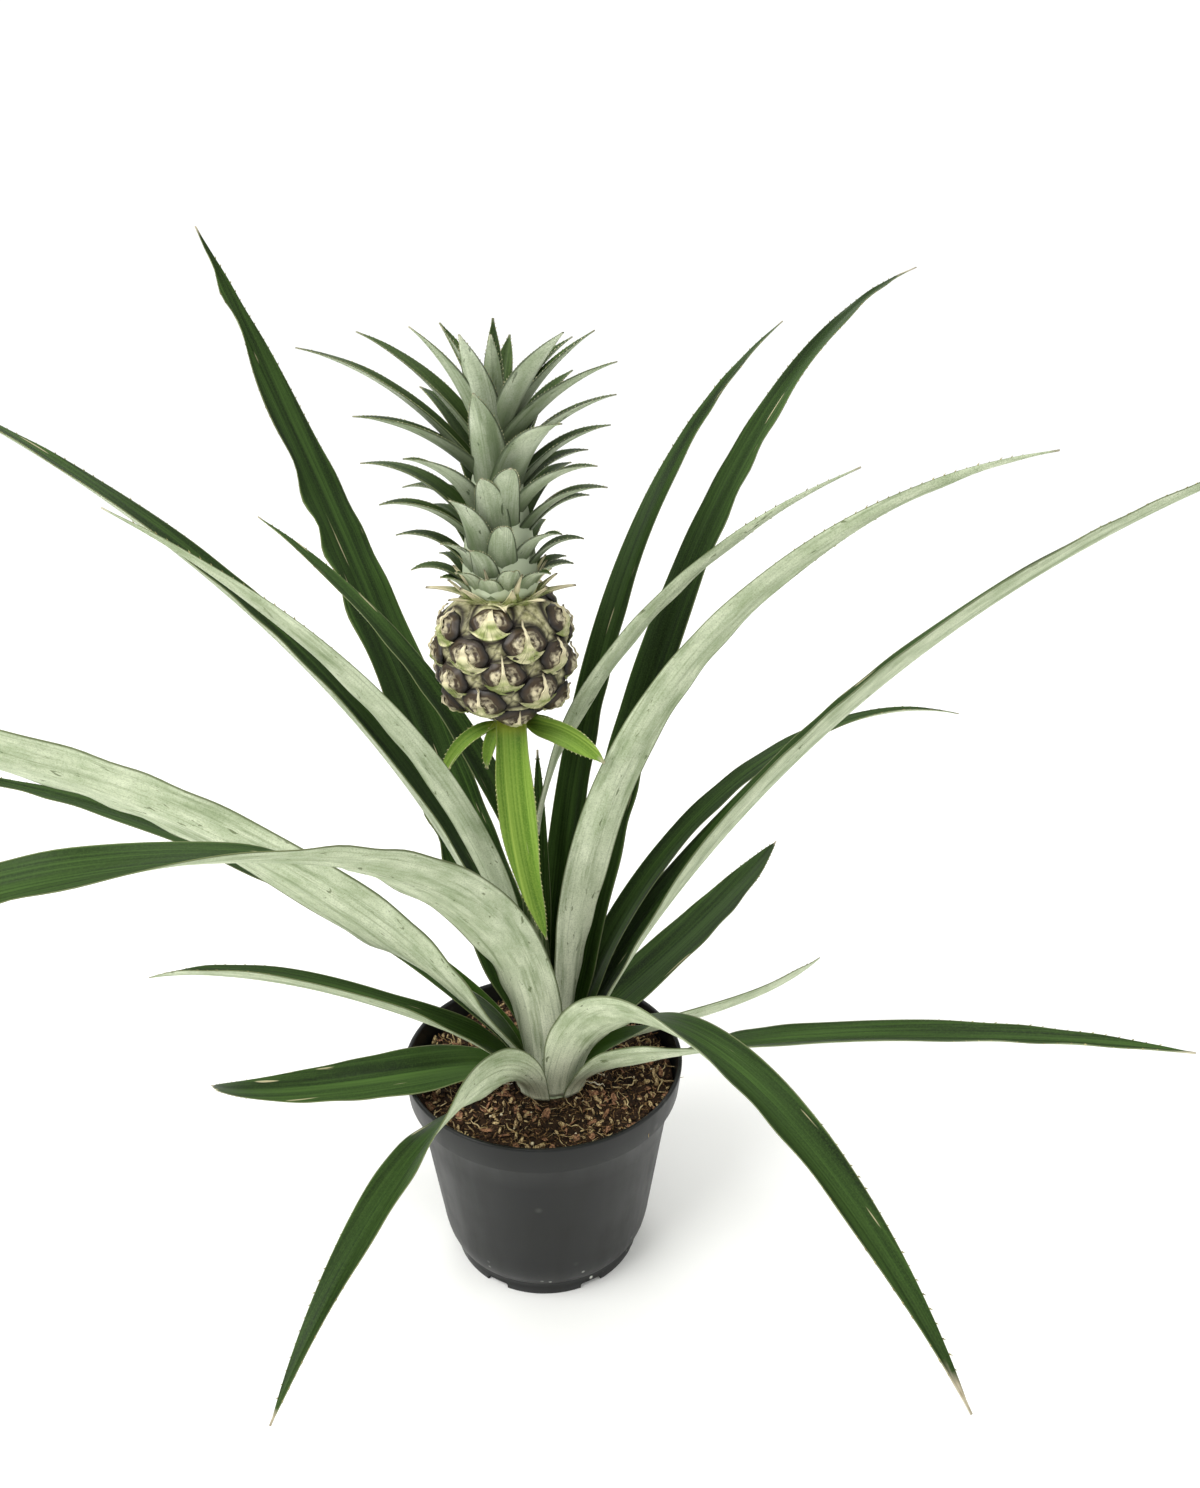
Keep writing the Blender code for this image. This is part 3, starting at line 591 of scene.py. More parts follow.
# facing deg, root radius mm, root height mm, launch deg, droop deg, droop power, sway deg, length mm, width
# mm, root width mm, roll deg, twist deg, gutter deg, taper power, roll start, and where they differ from
# 0.28, 0.3 and 0.5: roll span, twist start, twist span
LEAVES = {
    "leaf_01": (246, 17.0, 96.0, 78, 117, 0.545, -2, 218, 28, 15.5, 75, -60, 42, 2.4, 0.02, 0.2, 0.25, 0.4),
    "leaf_02": (320, 17.0, 96.0, 36, 22, 1.44, 9, 286, 24, 16, -40, 34, 32, 4.0, 0.02, 0.12, 0.16, 0.25),
    "leaf_03": (195, 15.9, 97.5, 12, 42, 0.6, -72, 186, 28, 13.5, -20, 0, 15, 1.8, 0.06),
    "leaf_04": (298, 15.9, 97.5, 77, 114, 0.84, 2, 306, 31, 20, -34, 22, 54, 3.0, 0.02, 0.2, 0.2, 0.5),
    "leaf_05": (197, 14.9, 99.0, 37, 55, 2.0, -30, 185, 24, 15, 20, 6, 48, 7.0, 0.14),
    "leaf_06": (10, 14.8, 99.0, 9, 13, 0.9, 45, 148, 20, 14, -46, 0, 34, 6.0, 0.06),
    "leaf_07": (170, 13.7, 101.0, 54, 54, 0.7, -5, 330, 20, 16, 0, 0, 32, 3.0, 0.06),
    "leaf_08": (37, 13.7, 101.0, 20, 25, 2.0, 30, 182, 26, 18, 0, 0, 25, 2.8, 0.06),
    "leaf_09": (200, 12.6, 103.0, 54, 90, 1.83, -39, 440, 34, 18, 60, 0, 25, 6.0, 0.05, 0.23, 0.3, 0.5),
    "leaf_10": (11, 12.6, 103.0, 65, 48, 1.0, -10, 450, 36, 18, -25, 0, 48, 3.0, 0.06),
    "leaf_11": (245, 11.5, 105.5, 89, 151, 1.0, -110, 450, 30, 18, 45, -70, 36, 4.0, 0.05, 0.22, 0.3, 0.5),
    "leaf_12": (28, 11.5, 105.5, 72, 91, 1.3, -6, 280, 21, 15, -10, 0, 32, 3.0, 0.06),
    "leaf_13": (50, 10.4, 108.0, 72, 62, 2.1, -6, 440, 24, 14, 0, 0, 25, 2.4, 0.06),
    "leaf_14": (130, 10.4, 108.0, 57, -4, 1.6, 20, 410, 33, 14, 0, 0, 25, 3.2, 0.06),
    "leaf_15": (175, 9.3, 111.0, 85, 63, 0.8, -11, 400, 33, 14, 11, 0, 46, 3.0, 0.06),
    "leaf_16": (330, 9.3, 111.0, 88, 82, 1.6, 42, 370, 20, 15, -60, 0, 20, 2.4, 0.06),
    "leaf_17": (218, 8.2, 114.0, 86, 58, 1.2, -45, 318, 13, 12, 62, -16, 40, 5.0, 0.12, 0.28, 0.6, 0.4),
    "leaf_18": (62, 7.1, 118.0, 84, 57, 1.5, -20, 360, 22, 12, -12, 0, 48, 3.0, 0.06),
    "stalk_leaf_1": (93, 5.6, 150.0, 85, 14, 1.2, 0, 105, 10, 9, 0, 0, 32, 3.0, 0.06),
    "stalk_leaf_2": (355, 5.6, 225.0, 82, 58, 0.9, 8, 210, 9.5, 8, -60, 0, 25, 3.0, 0.06),
    "stalk_leaf_3": (143, 5.6, 208.0, 73, 52, 0.6, 1, 206, 18, 9, 8, 0, 42, 2.4, 0.06),
}
# Where a leaf differs from the rest: length in mm of its dry tip, length of its pale base, and the height in
# mm of the waves along its margins.
DRY = {
    "leaf_04": 14, "leaf_13": 13, "leaf_05": 3, "leaf_17": 4, "leaf_14": 3, "leaf_03": 6, "leaf_08": 4,
    "leaf_18": 4,
}
PALE = {"leaf_07": 120, "leaf_04": 60, "leaf_15": 60, "leaf_16": 150, "leaf_11": 90}
WAVE = {"leaf_14": 1.5, "leaf_13": 0.5, "leaf_09": 0.6, "leaf_11": 0.7}


def stalk_x(z):
    """Where the leaning stalk's middle is at a height."""
    return FOOT_X + STALK_SLOPE * max(0.0, z - STALK_FROM_Z)


def ease(x):
    """Goes smoothly from 0 to 1 as x does."""
    x = np.clip(x, 0.0, 1.0)
    return x * x * (3 - 2 * x)


def blade(
    row, segments, across, centre_x, launch=86.0, sheath=SHEATH, cup_tip=40.0, wave=0.3,
    thick=(0.0009, 0.0006), serial=0,
):
    """A long leaf hugging the stem at its root, arching over and tapering to a point, with a gutter along it.
    Returns its points, faces, slots (0 above, 1 below), grain (mm across, mm along, serial),
    place (share of the way across and along) and margins."""
    face, r0, z0, e1, droop, power, sway, length, width, root_w, roll, twist, cup, taper, start = row[:15]
    span, at, over = row[15:] or (0.28, 0.3, 0.5)
    r0, z0, length, width, root_w = (v / 1000 for v in (r0, z0, length, width, root_w))
    # The middle line in 240 steps: it leaves the root at launch, turns to e1 over the sheath, and droops.
    s = np.linspace(0, 1, 241)
    mid = (s[1:] + s[:-1]) / 2

    def rise(t):
        return np.radians(e1 - droop * t**power + (launch - e1) * np.exp(-t * length / sheath))

    def heading(t):
        return np.radians(face + sway * t**1.5)

    def ahead(t):
        e, h = rise(t), heading(t)
        return np.stack([np.cos(e) * np.cos(h), np.cos(e) * np.sin(h), np.sin(e)], -1)

    a = math.radians(face)
    root = np.array([centre_x + r0 * math.cos(a), FOOT_Y + r0 * math.sin(a), z0])
    path = np.vstack([root, root + np.cumsum(ahead(mid), 0) * length / 240])
    # Rows of points lie closer together towards the root.
    t = np.linspace(0, 1, segments + 1)
    t = t * (1 - 0.35 * (1 - t))
    c = np.stack([np.interp(t, s, path[:, k]) for k in range(3)], -1)
    along = ahead(t)
    side = np.stack([-np.sin(heading(t)), np.cos(heading(t)), 0 * t], -1)
    up = np.cross(along, side)
    turn = np.radians(roll * ease((t - start) / span) + twist * ease((t - at) / over))[:, None]
    side, up = side * np.cos(turn) + up * np.sin(turn), up * np.cos(turn) - side * np.sin(turn)
    # It reaches its full width over 45 mm and tapers to a point 0.9 mm wide.
    w = (root_w + (width - root_w) * ease(t * length / 0.045)) * np.clip(1 - t**taper, 0, 1) ** 0.955
    w = np.maximum(w, 0.0009)
    # The gutter, as half the angle of its arc: round the stem at the root, then cup, and cup_tip at the end.
    root_cup = root_w / 2 / r0
    bend = root_cup + (math.radians(cup) - root_cup) * ease(t * length / 0.05)
    bend = bend + math.radians(cup_tip - cup) * ease((t - 0.6) / 0.4)
    arc = w / 2 / bend
    # Points crowd towards the margins; u runs from -1 to 1 across the leaf.
    close = math.pi / 2 * 0.92
    u = np.sin(np.linspace(-1, 1, across) * close) / math.sin(close)
    phi = bend[:, None] * u[None]
    aside = side[:, None] * (arc[:, None] * np.sin(phi))[..., None]
    above = up[:, None] * (arc[:, None] * (1 - np.cos(phi)))[..., None]
    skin = c[:, None] + aside + above
    normal = up[:, None] * np.cos(phi)[..., None] - side[:, None] * np.sin(phi)[..., None]
    # Faint waves along the margins, a slight keel in the middle, and halves that stand flatter than an arc.
    mm = t[:, None] * length * 1000
    out, way = np.abs(u[None]), t[:, None]
    beat = np.sin(mm / 6.4 + 2.1 * np.sin(mm / 23 + serial) + 2.4 * np.sign(u[None]) + serial)
    lift = wave / 1000 * out**3 * beat * ease(way / 0.15) * ease((1 - way) / 0.1)
    lift = lift - 0.0004 * np.exp(-((u[None] / 0.12) ** 2)) * ease((1 - way) / 0.3)
    depth = (arc * (1 - np.cos(bend)))[:, None]
    lift = lift + 0.6 * depth * (out - out**2) * ease(way * length / 0.05)
    skin = skin + normal * lift[..., None]
    half = (thick[0] + (thick[1] - thick[0]) * t)[:, None] / 2 * (1 - 0.55 * out**6)
    shell = normal * half[..., None]
    points = np.concatenate([skin + shell, (skin - shell)[:, ::-1]], 1)
    ring = 2 * across
    index = np.arange((segments + 1) * ring).reshape(segments + 1, ring)
    faces, slots = [], []
    for i in range(segments):
        for j in range(ring):
            k = (j + 1) % ring
            faces.append((index[i + 1, j], index[i + 1, k], index[i, k], index[i, j]))
            slots.append(0 if j < across else 1)
    for i in (0, segments):
        for j in range(across - 1):
            f = (index[i, j], index[i, j + 1], index[i, ring - 2 - j], index[i, ring - 1 - j])
            faces.append(f if i == 0 else f[::-1])
            slots.append(0)
    flat = w[:, None] / 2 * u[None] * 1000
    flat, own = np.concatenate([flat, flat[:, ::-1]], 1), np.full((segments + 1, ring), serial * 37.0)
    grain = np.stack([flat, np.repeat(mm, ring, 1), own], -1)
    u_row = np.repeat(np.concatenate([u, u[::-1]])[None], segments + 1, 0)
    place = np.stack([u_row, np.repeat(way, ring, 1), 0 * u_row], -1)
    edges = []
    for j, sign in ((0, -1), (across - 1, 1)):
        outward = side * math.cos(0.6) * sign * np.cos(bend)[:, None]
        outward = outward + up * np.sin(bend)[:, None] * 0.5 + along * 0.9
        edges.append((skin[:, j], outward / np.linalg.norm(outward, axis=1)[:, None], t))
    return points.reshape(-1, 3), faces, slots, grain.reshape(-1, 3), place.reshape(-1, 3), edges


def upper_skin(name, deep, mid, light, base, rib, roughness):
    """Waxy upper side: deep green with lighter lines along the fibres, pale base and margin, and dry tip."""
    material, tree, shader = finish(name, roughness=roughness, specular_ior_level=0.1)
    grain = add(tree, "ShaderNodeAttribute", attribute_name="grain").outputs["Vector"]
    place = add(tree, "ShaderNodeAttribute", attribute_name="place").outputs["Vector"]
    tip_and_root = add(tree, "ShaderNodeAttribute", attribute_name="tip_and_root").outputs["Vector"]
    lines = add(tree, "ShaderNodeMapping", {"Vector": grain, "Scale": (1 / 1.05, 1 / 200, 1.0)})
    lines = add(
        tree, "ShaderNodeTexNoise",
        {"Vector": lines.outputs[0], "Scale": 1.0, "Detail": 4.0, "Roughness": 0.65},
    )
    broad = add(tree, "ShaderNodeMapping", {"Vector": grain, "Scale": (1 / 5, 1 / 125, 1.0)})
    broad = add(tree, "ShaderNodeTexNoise", {"Vector": broad.outputs[0], "Scale": 1.0, "Detail": 3.0})
    strip = add(
        tree, "ShaderNodeMapRange", {"Value": lines.outputs["Fac"], "From Min": 0.38, "From Max": 0.68},
    )
    cloud = add(
        tree, "ShaderNodeMapRange", {"Value": broad.outputs["Fac"], "From Min": 0.32, "From Max": 0.7},
    )
    green = add(tree, "ShaderNodeMix", {0: cloud.outputs[0], 6: hue(deep), 7: hue(mid)}, data_type="RGBA")
    lined = add(tree, "ShaderNodeMath", {0: strip.outputs[0], 1: cloud.outputs[0]}, operation="MULTIPLY")
    green = add(
        tree, "ShaderNodeMix", {0: lined.outputs[0], 6: green.outputs[2], 7: hue(light)}, data_type="RGBA",
    )
    # Pores and dust, 1 mm and finer.
    pore = add(
        tree, "ShaderNodeTexNoise", {"Vector": grain, "Scale": 1 / 0.67, "Detail": 3.0, "Roughness": 0.7},
    )
    pore = add(
        tree, "ShaderNodeMapRange",
        {"Value": pore.outputs["Fac"], "From Min": 0.45, "From Max": 0.62, "To Max": 0.22},
    )
    green = add(
        tree, "ShaderNodeMix", {0: pore.outputs[0], 6: green.outputs[2], 7: hue(light)}, data_type="RGBA",
    )
    split = add(tree, "ShaderNodeSeparateXYZ", {0: tip_and_root})
    green = add(
        tree, "ShaderNodeMix", {0: split.outputs[1], 6: green.outputs[2], 7: hue(base)}, data_type="RGBA",
    )
    # Thin pale scars along the fibres, few and long.
    scar = add(
        tree, "ShaderNodeMapping",
        {"Vector": grain, "Scale": (1 / 1.8, 1 / 36, 1.0), "Location": (3.1, 1.7, 4.4)},
    )
    scar = add(tree, "ShaderNodeTexNoise", {"Vector": scar.outputs[0], "Scale": 1.0, "Detail": 1.0})
    scar = add(
        tree, "ShaderNodeMapRange",
        {"Value": scar.outputs["Fac"], "From Min": 0.745, "From Max": 0.775, "To Max": 0.8},
    )
    green = add(
        tree, "ShaderNodeMix", {0: scar.outputs[0], 6: green.outputs[2], 7: hue("#b9b08c")},
        data_type="RGBA",
    )
    axes = add(tree, "ShaderNodeSeparateXYZ", {0: place})
    rim = add(tree, "ShaderNodeMath", {0: axes.outputs[0]}, operation="ABSOLUTE")
    rim = add(
        tree, "ShaderNodeMapRange",
        {"Value": rim.outputs[0], "From Min": 0.955, "From Max": 0.985, "To Max": 0.5},
    )
    green = add(
        tree, "ShaderNodeMix", {0: rim.outputs[0], 6: green.outputs[2], 7: hue("#8d9468")}, data_type="RGBA",
    )
    patch = add(tree, "ShaderNodeTexNoise", {"Vector": grain, "Scale": 1 / 2.9, "Detail": 2.0})
    straw = add(
        tree, "ShaderNodeMix", {0: patch.outputs["Fac"], 6: hue("#75654a"), 7: hue("#d2cbb2")},
        data_type="RGBA",
    )
    whole = add(
        tree, "ShaderNodeMix", {0: split.outputs[0], 6: green.outputs[2], 7: straw.outputs[2]},
        data_type="RGBA",
    )
    tree.links.new(whole.outputs[2], shader.inputs["Base Color"])
    ribs = add(tree, "ShaderNodeMapping", {"Vector": grain, "Scale": (1 / rib, 1 / 167, 1.0)})
    ribs = add(tree, "ShaderNodeTexNoise", {"Vector": ribs.outputs[0], "Scale": 1.0, "Detail": 2.0})
    bump = add(tree, "ShaderNodeBump", {"Strength": 0.35, "Distance": 0.0004, "Height": ribs.outputs["Fac"]})
    tree.links.new(bump.outputs[0], shader.inputs["Normal"])
    gloss = add(
        tree, "ShaderNodeMapRange",
        {
            "Value": broad.outputs["Fac"], "From Min": 0.3, "From Max": 0.7, "To Min": roughness - 0.05,
            "To Max": roughness + 0.1,
        },
    )
    tree.links.new(gloss.outputs[0], shader.inputs["Roughness"])
    return material


def under_skin(name, silver, grey, base, line, mark, rib, margin=0.93):
    """Scaly underside: silver green with fine darker lines along it, rubbed marks, and towards the root the
    base colour: creamy on the leaves, a painted shade on the crown.
    """
    material, tree, shader = finish(name, roughness=0.62, specular_ior_level=0.3)
    grain = add(tree, "ShaderNodeAttribute", attribute_name="grain").outputs["Vector"]
    place = add(tree, "ShaderNodeAttribute", attribute_name="place").outputs["Vector"]
    tip_and_root = add(tree, "ShaderNodeAttribute", attribute_name="tip_and_root").outputs["Vector"]
    cloud = add(tree, "ShaderNodeMapping", {"Vector": grain, "Scale": (1 / 6.7, 1 / 20, 1.0)})
    cloud = add(
        tree, "ShaderNodeTexNoise",
        {"Vector": cloud.outputs[0], "Scale": 1.0, "Detail": 5.0, "Roughness": 0.6},
    )
    cloud = add(
        tree, "ShaderNodeMapRange", {"Value": cloud.outputs["Fac"], "From Min": 0.33, "From Max": 0.68},
    )
    tone = add(tree, "ShaderNodeMix", {0: cloud.outputs[0], 6: hue(grey), 7: hue(silver)}, data_type="RGBA")
    # Towards the root the tone turns to base: a pale base on the leaves, a painted shade on the crown.
    split = add(tree, "ShaderNodeSeparateXYZ", {0: tip_and_root})
    tone = add(
        tree, "ShaderNodeMix", {0: split.outputs[1], 6: tone.outputs[2], 7: hue(base)}, data_type="RGBA",
    )
    lines = add(tree, "ShaderNodeMapping", {"Vector": grain, "Scale": (1 / rib, 1 / 83, 1.0)})
    lines = add(tree, "ShaderNodeTexNoise", {"Vector": lines.outputs[0], "Scale": 1.0, "Detail": 3.0})
    fine = add(
        tree, "ShaderNodeMapRange",
        {"Value": lines.outputs["Fac"], "From Min": 0.55, "From Max": 0.75, "To Max": 0.55},
    )
    tone = add(
        tree, "ShaderNodeMix", {0: fine.outputs[0], 6: tone.outputs[2], 7: hue(line)}, data_type="RGBA",
    )
    # Marks where the scales were rubbed off: short, slightly slanting, brown green.
    rub = add(
        tree, "ShaderNodeMapping",
        {"Vector": grain, "Scale": (1 / 2.4, 1 / 7.7, 1.0), "Rotation": (0, 0, 0.35)},
    )
    rub = add(
        tree, "ShaderNodeTexNoise",
        {"Vector": rub.outputs[0], "Scale": 1.0, "Detail": 4.0, "Distortion": 0.8},
    )
    rub = add(
        tree, "ShaderNodeMapRange",
        {"Value": rub.outputs["Fac"], "From Min": 0.655, "From Max": 0.70, "To Max": 0.75},
    )
    tone = add(tree, "ShaderNodeMix", {0: rub.outputs[0], 6: tone.outputs[2], 7: hue(mark)}, data_type="RGBA")
    # A scurf of single scales, finer than 1 mm.
    scurfy = add(
        tree, "ShaderNodeTexNoise", {"Vector": grain, "Scale": 1 / 0.59, "Detail": 4.0, "Roughness": 0.75},
    )
    scurfy = add(
        tree, "ShaderNodeMapRange",
        {"Value": scurfy.outputs["Fac"], "From Min": 0.48, "From Max": 0.64, "To Max": 0.42},
    )
    tone = add(
        tree, "ShaderNodeMix", {0: scurfy.outputs[0], 6: tone.outputs[2], 7: hue(line)}, data_type="RGBA",
    )
    # The scales thin out in long patches, where the green shows through.
    thin = add(
        tree, "ShaderNodeMapping",
        {"Vector": grain, "Scale": (1 / 5, 1 / 71, 1.0), "Location": (7.0, 2.0, 1.0)},
    )
    thin = add(
        tree, "ShaderNodeTexNoise",
        {"Vector": thin.outputs[0], "Scale": 1.0, "Detail": 4.0, "Roughness": 0.7},
    )
    thin = add(
        tree, "ShaderNodeMapRange",
        {"Value": thin.outputs["Fac"], "From Min": 0.50, "From Max": 0.66, "To Max": 0.6},
    )
    tone = add(
        tree, "ShaderNodeMix", {0: thin.outputs[0], 6: tone.outputs[2], 7: hue(line)}, data_type="RGBA",
    )
    axes = add(tree, "ShaderNodeSeparateXYZ", {0: place})
    rim = add(tree, "ShaderNodeMath", {0: axes.outputs[0]}, operation="ABSOLUTE")
    rim = add(
        tree, "ShaderNodeMapRange",
        {"Value": rim.outputs[0], "From Min": margin, "From Max": margin * 0.4 + 0.6, "To Max": 0.85},
    )
    tone = add(tree, "ShaderNodeMix", {0: rim.outputs[0], 6: tone.outputs[2], 7: hue(mark)}, data_type="RGBA")
    straw = add(
        tree, "ShaderNodeMix", {0: cloud.outputs[0], 6: hue("#8a7f62"), 7: hue("#dcd6c0")}, data_type="RGBA",
    )
    whole = add(
        tree, "ShaderNodeMix", {0: split.outputs[0], 6: tone.outputs[2], 7: straw.outputs[2]},
        data_type="RGBA",
    )
    tree.links.new(whole.outputs[2], shader.inputs["Base Color"])
    bump = add(tree, "ShaderNodeBump", {"Strength": 0.3, "Distance": 0.0004, "Height": lines.outputs["Fac"]})
    tree.links.new(bump.outputs[0], shader.inputs["Normal"])
    return material


# Leaf cuticle: living, waxy and satin, with lines about 1 mm apart; leaf scales: a dry silver bloom.
cuticle = upper_skin("waxy_leaf_cuticle", "#15230a", "#243914", "#47632b", "#41601f", 0.8, 0.45)
scales = under_skin("silver_leaf_scales", "#d9e1c3", "#a6b48f", "#e7eacf", "#647849", "#4f5a30", 0.9)


def tip_and_root_of(grain, length, dry, pale, serial):
    """Per point: how dry (towards the tip), and how far the root colour reaches (towards the root): a pale
    base on the leaves and bracts, a painted shade on the crown.
    """
    left = length - grain[:, 1]
    ragged = 2.5 * np.sin(grain[:, 0] * 0.9 + serial) + 1.5 * np.sin(grain[:, 0] * 2.3 + 2 * serial)
    dryness = ease((dry + ragged * min(1.0, dry / 8) - left) / max(2.5, dry * 0.35))
    return np.stack([dryness, 0.85 * ease(1 - grain[:, 1] / pale), 0 * left], -1)


def spine_tree():
    """Small thorns set evenly along margin lines, each aimed by the line's own outward arrow."""
    tree = bpy.data.node_groups.new("margin_spines", "GeometryNodeTree")
    face = tree.interface
    face.new_socket("Margins", in_out="INPUT", socket_type="NodeSocketGeometry")
    kinds_of = {"Seed": "Int", "Finish": "Material"}
    for label in ("Spacing", "Length", "Thickness", "Seed", "Finish"):
        face.new_socket(label, in_out="INPUT", socket_type="NodeSocket" + kinds_of.get(label, "Float"))
    face.new_socket("Spines", in_out="OUTPUT", socket_type="NodeSocketGeometry")
    start = add(tree, "NodeGroupInput").outputs
    curve = add(tree, "GeometryNodeMeshToCurve", {0: start["Margins"]})
    even = add(
        tree, "GeometryNodeResampleCurve", {"Curve": curve.outputs[0], "Length": start["Spacing"]},
        mode="LENGTH",
    )
    cone = add(
        tree, "GeometryNodeMeshCone", {"Vertices": 4, "Radius Top": 0.0, "Radius Bottom": 1.0, "Depth": 1.0},
    )
    out = add(tree, "GeometryNodeInputNamedAttribute", {"Name": "outward"}, data_type="FLOAT_VECTOR")
    big = add(tree, "GeometryNodeInputNamedAttribute", {"Name": "size"}, data_type="FLOAT")
    aim = add(tree, "FunctionNodeAlignRotationToVector", {"Vector": out.outputs[0]}, axis="Z")
    vary = add(tree, "FunctionNodeRandomValue", {2: 0.6, 3: 1.25, "Seed": start["Seed"]}, data_type="FLOAT")
    grown = add(tree, "ShaderNodeMath", {0: big.outputs[0], 1: vary.outputs[1]}, operation="MULTIPLY")
    thick = add(
        tree, "ShaderNodeCombineXYZ", {0: start["Thickness"], 1: start["Thickness"], 2: start["Length"]},
    )
    scale = add(
        tree, "ShaderNodeVectorMath", {0: thick.outputs[0], "Scale": grown.outputs[0]}, operation="SCALE",
    )
    set_on = add(
        tree, "GeometryNodeInstanceOnPoints",
        {
            "Points": even.outputs[0], "Instance": cone.outputs[0], "Rotation": aim.outputs[0],
            "Scale": scale.outputs[0],
        },
    )
    real = add(tree, "GeometryNodeRealizeInstances", {0: set_on.outputs[0]})
    dressed = add(tree, "GeometryNodeSetMaterial", {"Geometry": real.outputs[0], "Material": start["Finish"]})
    add(tree, "NodeGroupOutput", {0: dressed.outputs[0]})
    return tree


def spines(name, margins, first, last, spacing, length, thickness, material):
    """One piece with the spines of all these margins, from the share first to the share last of each."""
    points, lines, arrows, sizes = [], [], [], []
    for line, outward, t in margins:
        keep = np.flatnonzero((t >= first) & (t <= last))
        base = len(points)
        points += [tuple(line[k]) for k in keep]
        arrows += [tuple(outward[k]) for k in keep]
        sizes += [float(ease((t[k] - first) / 0.2 + 0.15)) for k in keep]
        lines += [(base + k, base + k + 1) for k in range(len(keep) - 1)]
    mesh = bpy.data.meshes.new(name + "_lines")
    mesh.from_pydata(points, lines, [])
    outward = mesh.attributes.new("outward", "FLOAT_VECTOR", "POINT")
    outward.data.foreach_set("vector", np.array(arrows, np.float32).ravel())
    size = mesh.attributes.new("size", "FLOAT", "POINT")
    size.data.foreach_set("value", np.array(sizes, np.float32))
    host = bpy.data.objects.new(name + "_lines", mesh)
    bpy.context.scene.collection.objects.link(host)
    values = {"Spacing": spacing, "Length": length, "Thickness": thickness, "Seed": 4, "Finish": material}
    piece = grow(name, host, thorns, values, smooth=False)
    bpy.data.objects.remove(host, do_unlink=True)
    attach(piece, "root")
    return piece


margins = []
for serial, (name, row) in enumerate(LEAVES.items(), 1):
    count = 104 if name.startswith("leaf") else 64
    points, faces, slots, grain, place, edges = blade(
        row, count, 13, stalk_x(row[2] / 1000), wave=WAVE.get(name, 0.3), serial=serial,
    )
    tip_and_root = tip_and_root_of(grain, row[7], DRY.get(name, 3.5), PALE.get(name, 48), serial)
    fields = {"grain": grain, "place": place, "tip_and_root": tip_and_root}
    leaf = make(name + "_blade", points, faces, [cuticle, scales], slots, fields)
    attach(leaf, "root")
    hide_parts(name)
    margins += edges
thorns = spine_tree()
# Thorns: hard, dry and horny, olive to straw; those on the bracts and the crown are younger and paler.
thorn = stuff("leaf_thorn", "#6f6a44", "#a8a070", 2.0, 0.55)
spines("leaf_spines", margins, 0.62, 0.97, 0.0042, 0.0011, 0.00028, thorn)

# ================================================================ stem, stalk and bracts under the fruit
# A short woody stem hidden by the leaf bases, then a leaning green stalk, scurfy with pale scales, which
# carries the fruit; right under the fruit grow five young yellow green bracts, one of them a long hanging
# strap.
BRACTS = (
    (274, 6.5, 279.5, -76, 0, 1.0, 90, 97, 19, 15, 15, 55, 38, 2.4, 0.06),
    (330, 3.2, 276.0, 20, 62, 1.0, 0, 44, 22, 9, 85, 0, 20, 2.2, 0.06),
    (202, 3.2, 275.0, 10, 85, 0.8, 0, 38, 13, 7, -30, 0, 32, 2.2, 0.06),
    (226, 3.2, 277.0, -25, 60, 0.5, 0, 22, 14, 7, -25, 0, 20, 2.4, 0.06),
    (20, 3.2, 275.0, 15, 70, 1.0, 0, 24, 9, 7, 0, 0, 30, 2.2, 0.06),
)
STALK_R, STALK_TOP_Z = 0.0047, 0.2824
# The short stem steps in just under each leaf's root.
seats = sorted({(row[2], row[1]) for name, row in LEAVES.items() if name.startswith("leaf")})
trunk = [(0.0, 0.0765), (0.0150, 0.0765), (0.0163, 0.0800), (0.0163, 0.0945)]
trunk += [((r - 0.9) / 1000, z / 1000) for z, r in seats] + [(STALK_R + 0.0004, 0.1225)]
trunk += [(STALK_R, z) for z in (0.136, 0.150, 0.175, 0.200, 0.225, 0.250)]
trunk += [(STALK_R + 0.0006, 0.270), (STALK_R + 0.0018, 0.2765)]
trunk += [(0.0080, 0.2805), (0.0080, STALK_TOP_Z), (0.0, STALK_TOP_Z)]

# Stalk skin: grey green with a pale scurf and faint ribs about 1.5 mm apart.
scurf, tree, shader = finish("scurfy_stalk_skin", roughness=0.6, specular_ior_level=0.35)
where = add(tree, "ShaderNodeTexCoord")
ribs = add(
    tree, "ShaderNodeMapping",
    {"Vector": where.outputs["Object"], "Scale": (1000 / 1.5, 1000 / 1.5, 1000 / 55)},
)
ribs = add(tree, "ShaderNodeTexNoise", {"Vector": ribs.outputs[0], "Scale": 1.0, "Detail": 3.0})
reach = add(tree, "ShaderNodeMapRange", {"Value": ribs.outputs["Fac"], "From Min": 0.35, "From Max": 0.65})
green = add(
    tree, "ShaderNodeMix", {0: reach.outputs[0], 6: hue("#5d7440"), 7: hue("#a9b487")}, data_type="RGBA",
)
tree.links.new(green.outputs[2], shader.inputs["Base Color"])
bump = add(tree, "ShaderNodeBump", {"Strength": 0.4, "Distance": 0.0004, "Height": ribs.outputs["Fac"]})
tree.links.new(bump.outputs[0], shader.inputs["Normal"])

# Woody foot: dull brown bark, kept dark also as a painted shade under the leaf bases. Young bracts: fresh
# yellow green, satin above, and below still thin in scales.
foot_bark_and_shade = stuff("stem_foot_bark_and_painted_shade", "#241a10", "#5d4a30", 2.0, 0.9)
young_top = upper_skin("young_bract_cuticle", "#43641c", "#61862e", "#98b04f", "#c2ca50", 0.7, 0.45)
young_under = under_skin("young_bract_underside", "#86a83a", "#66902c", "#b4c24a", "#44691e", "#6d7a2c", 0.8)


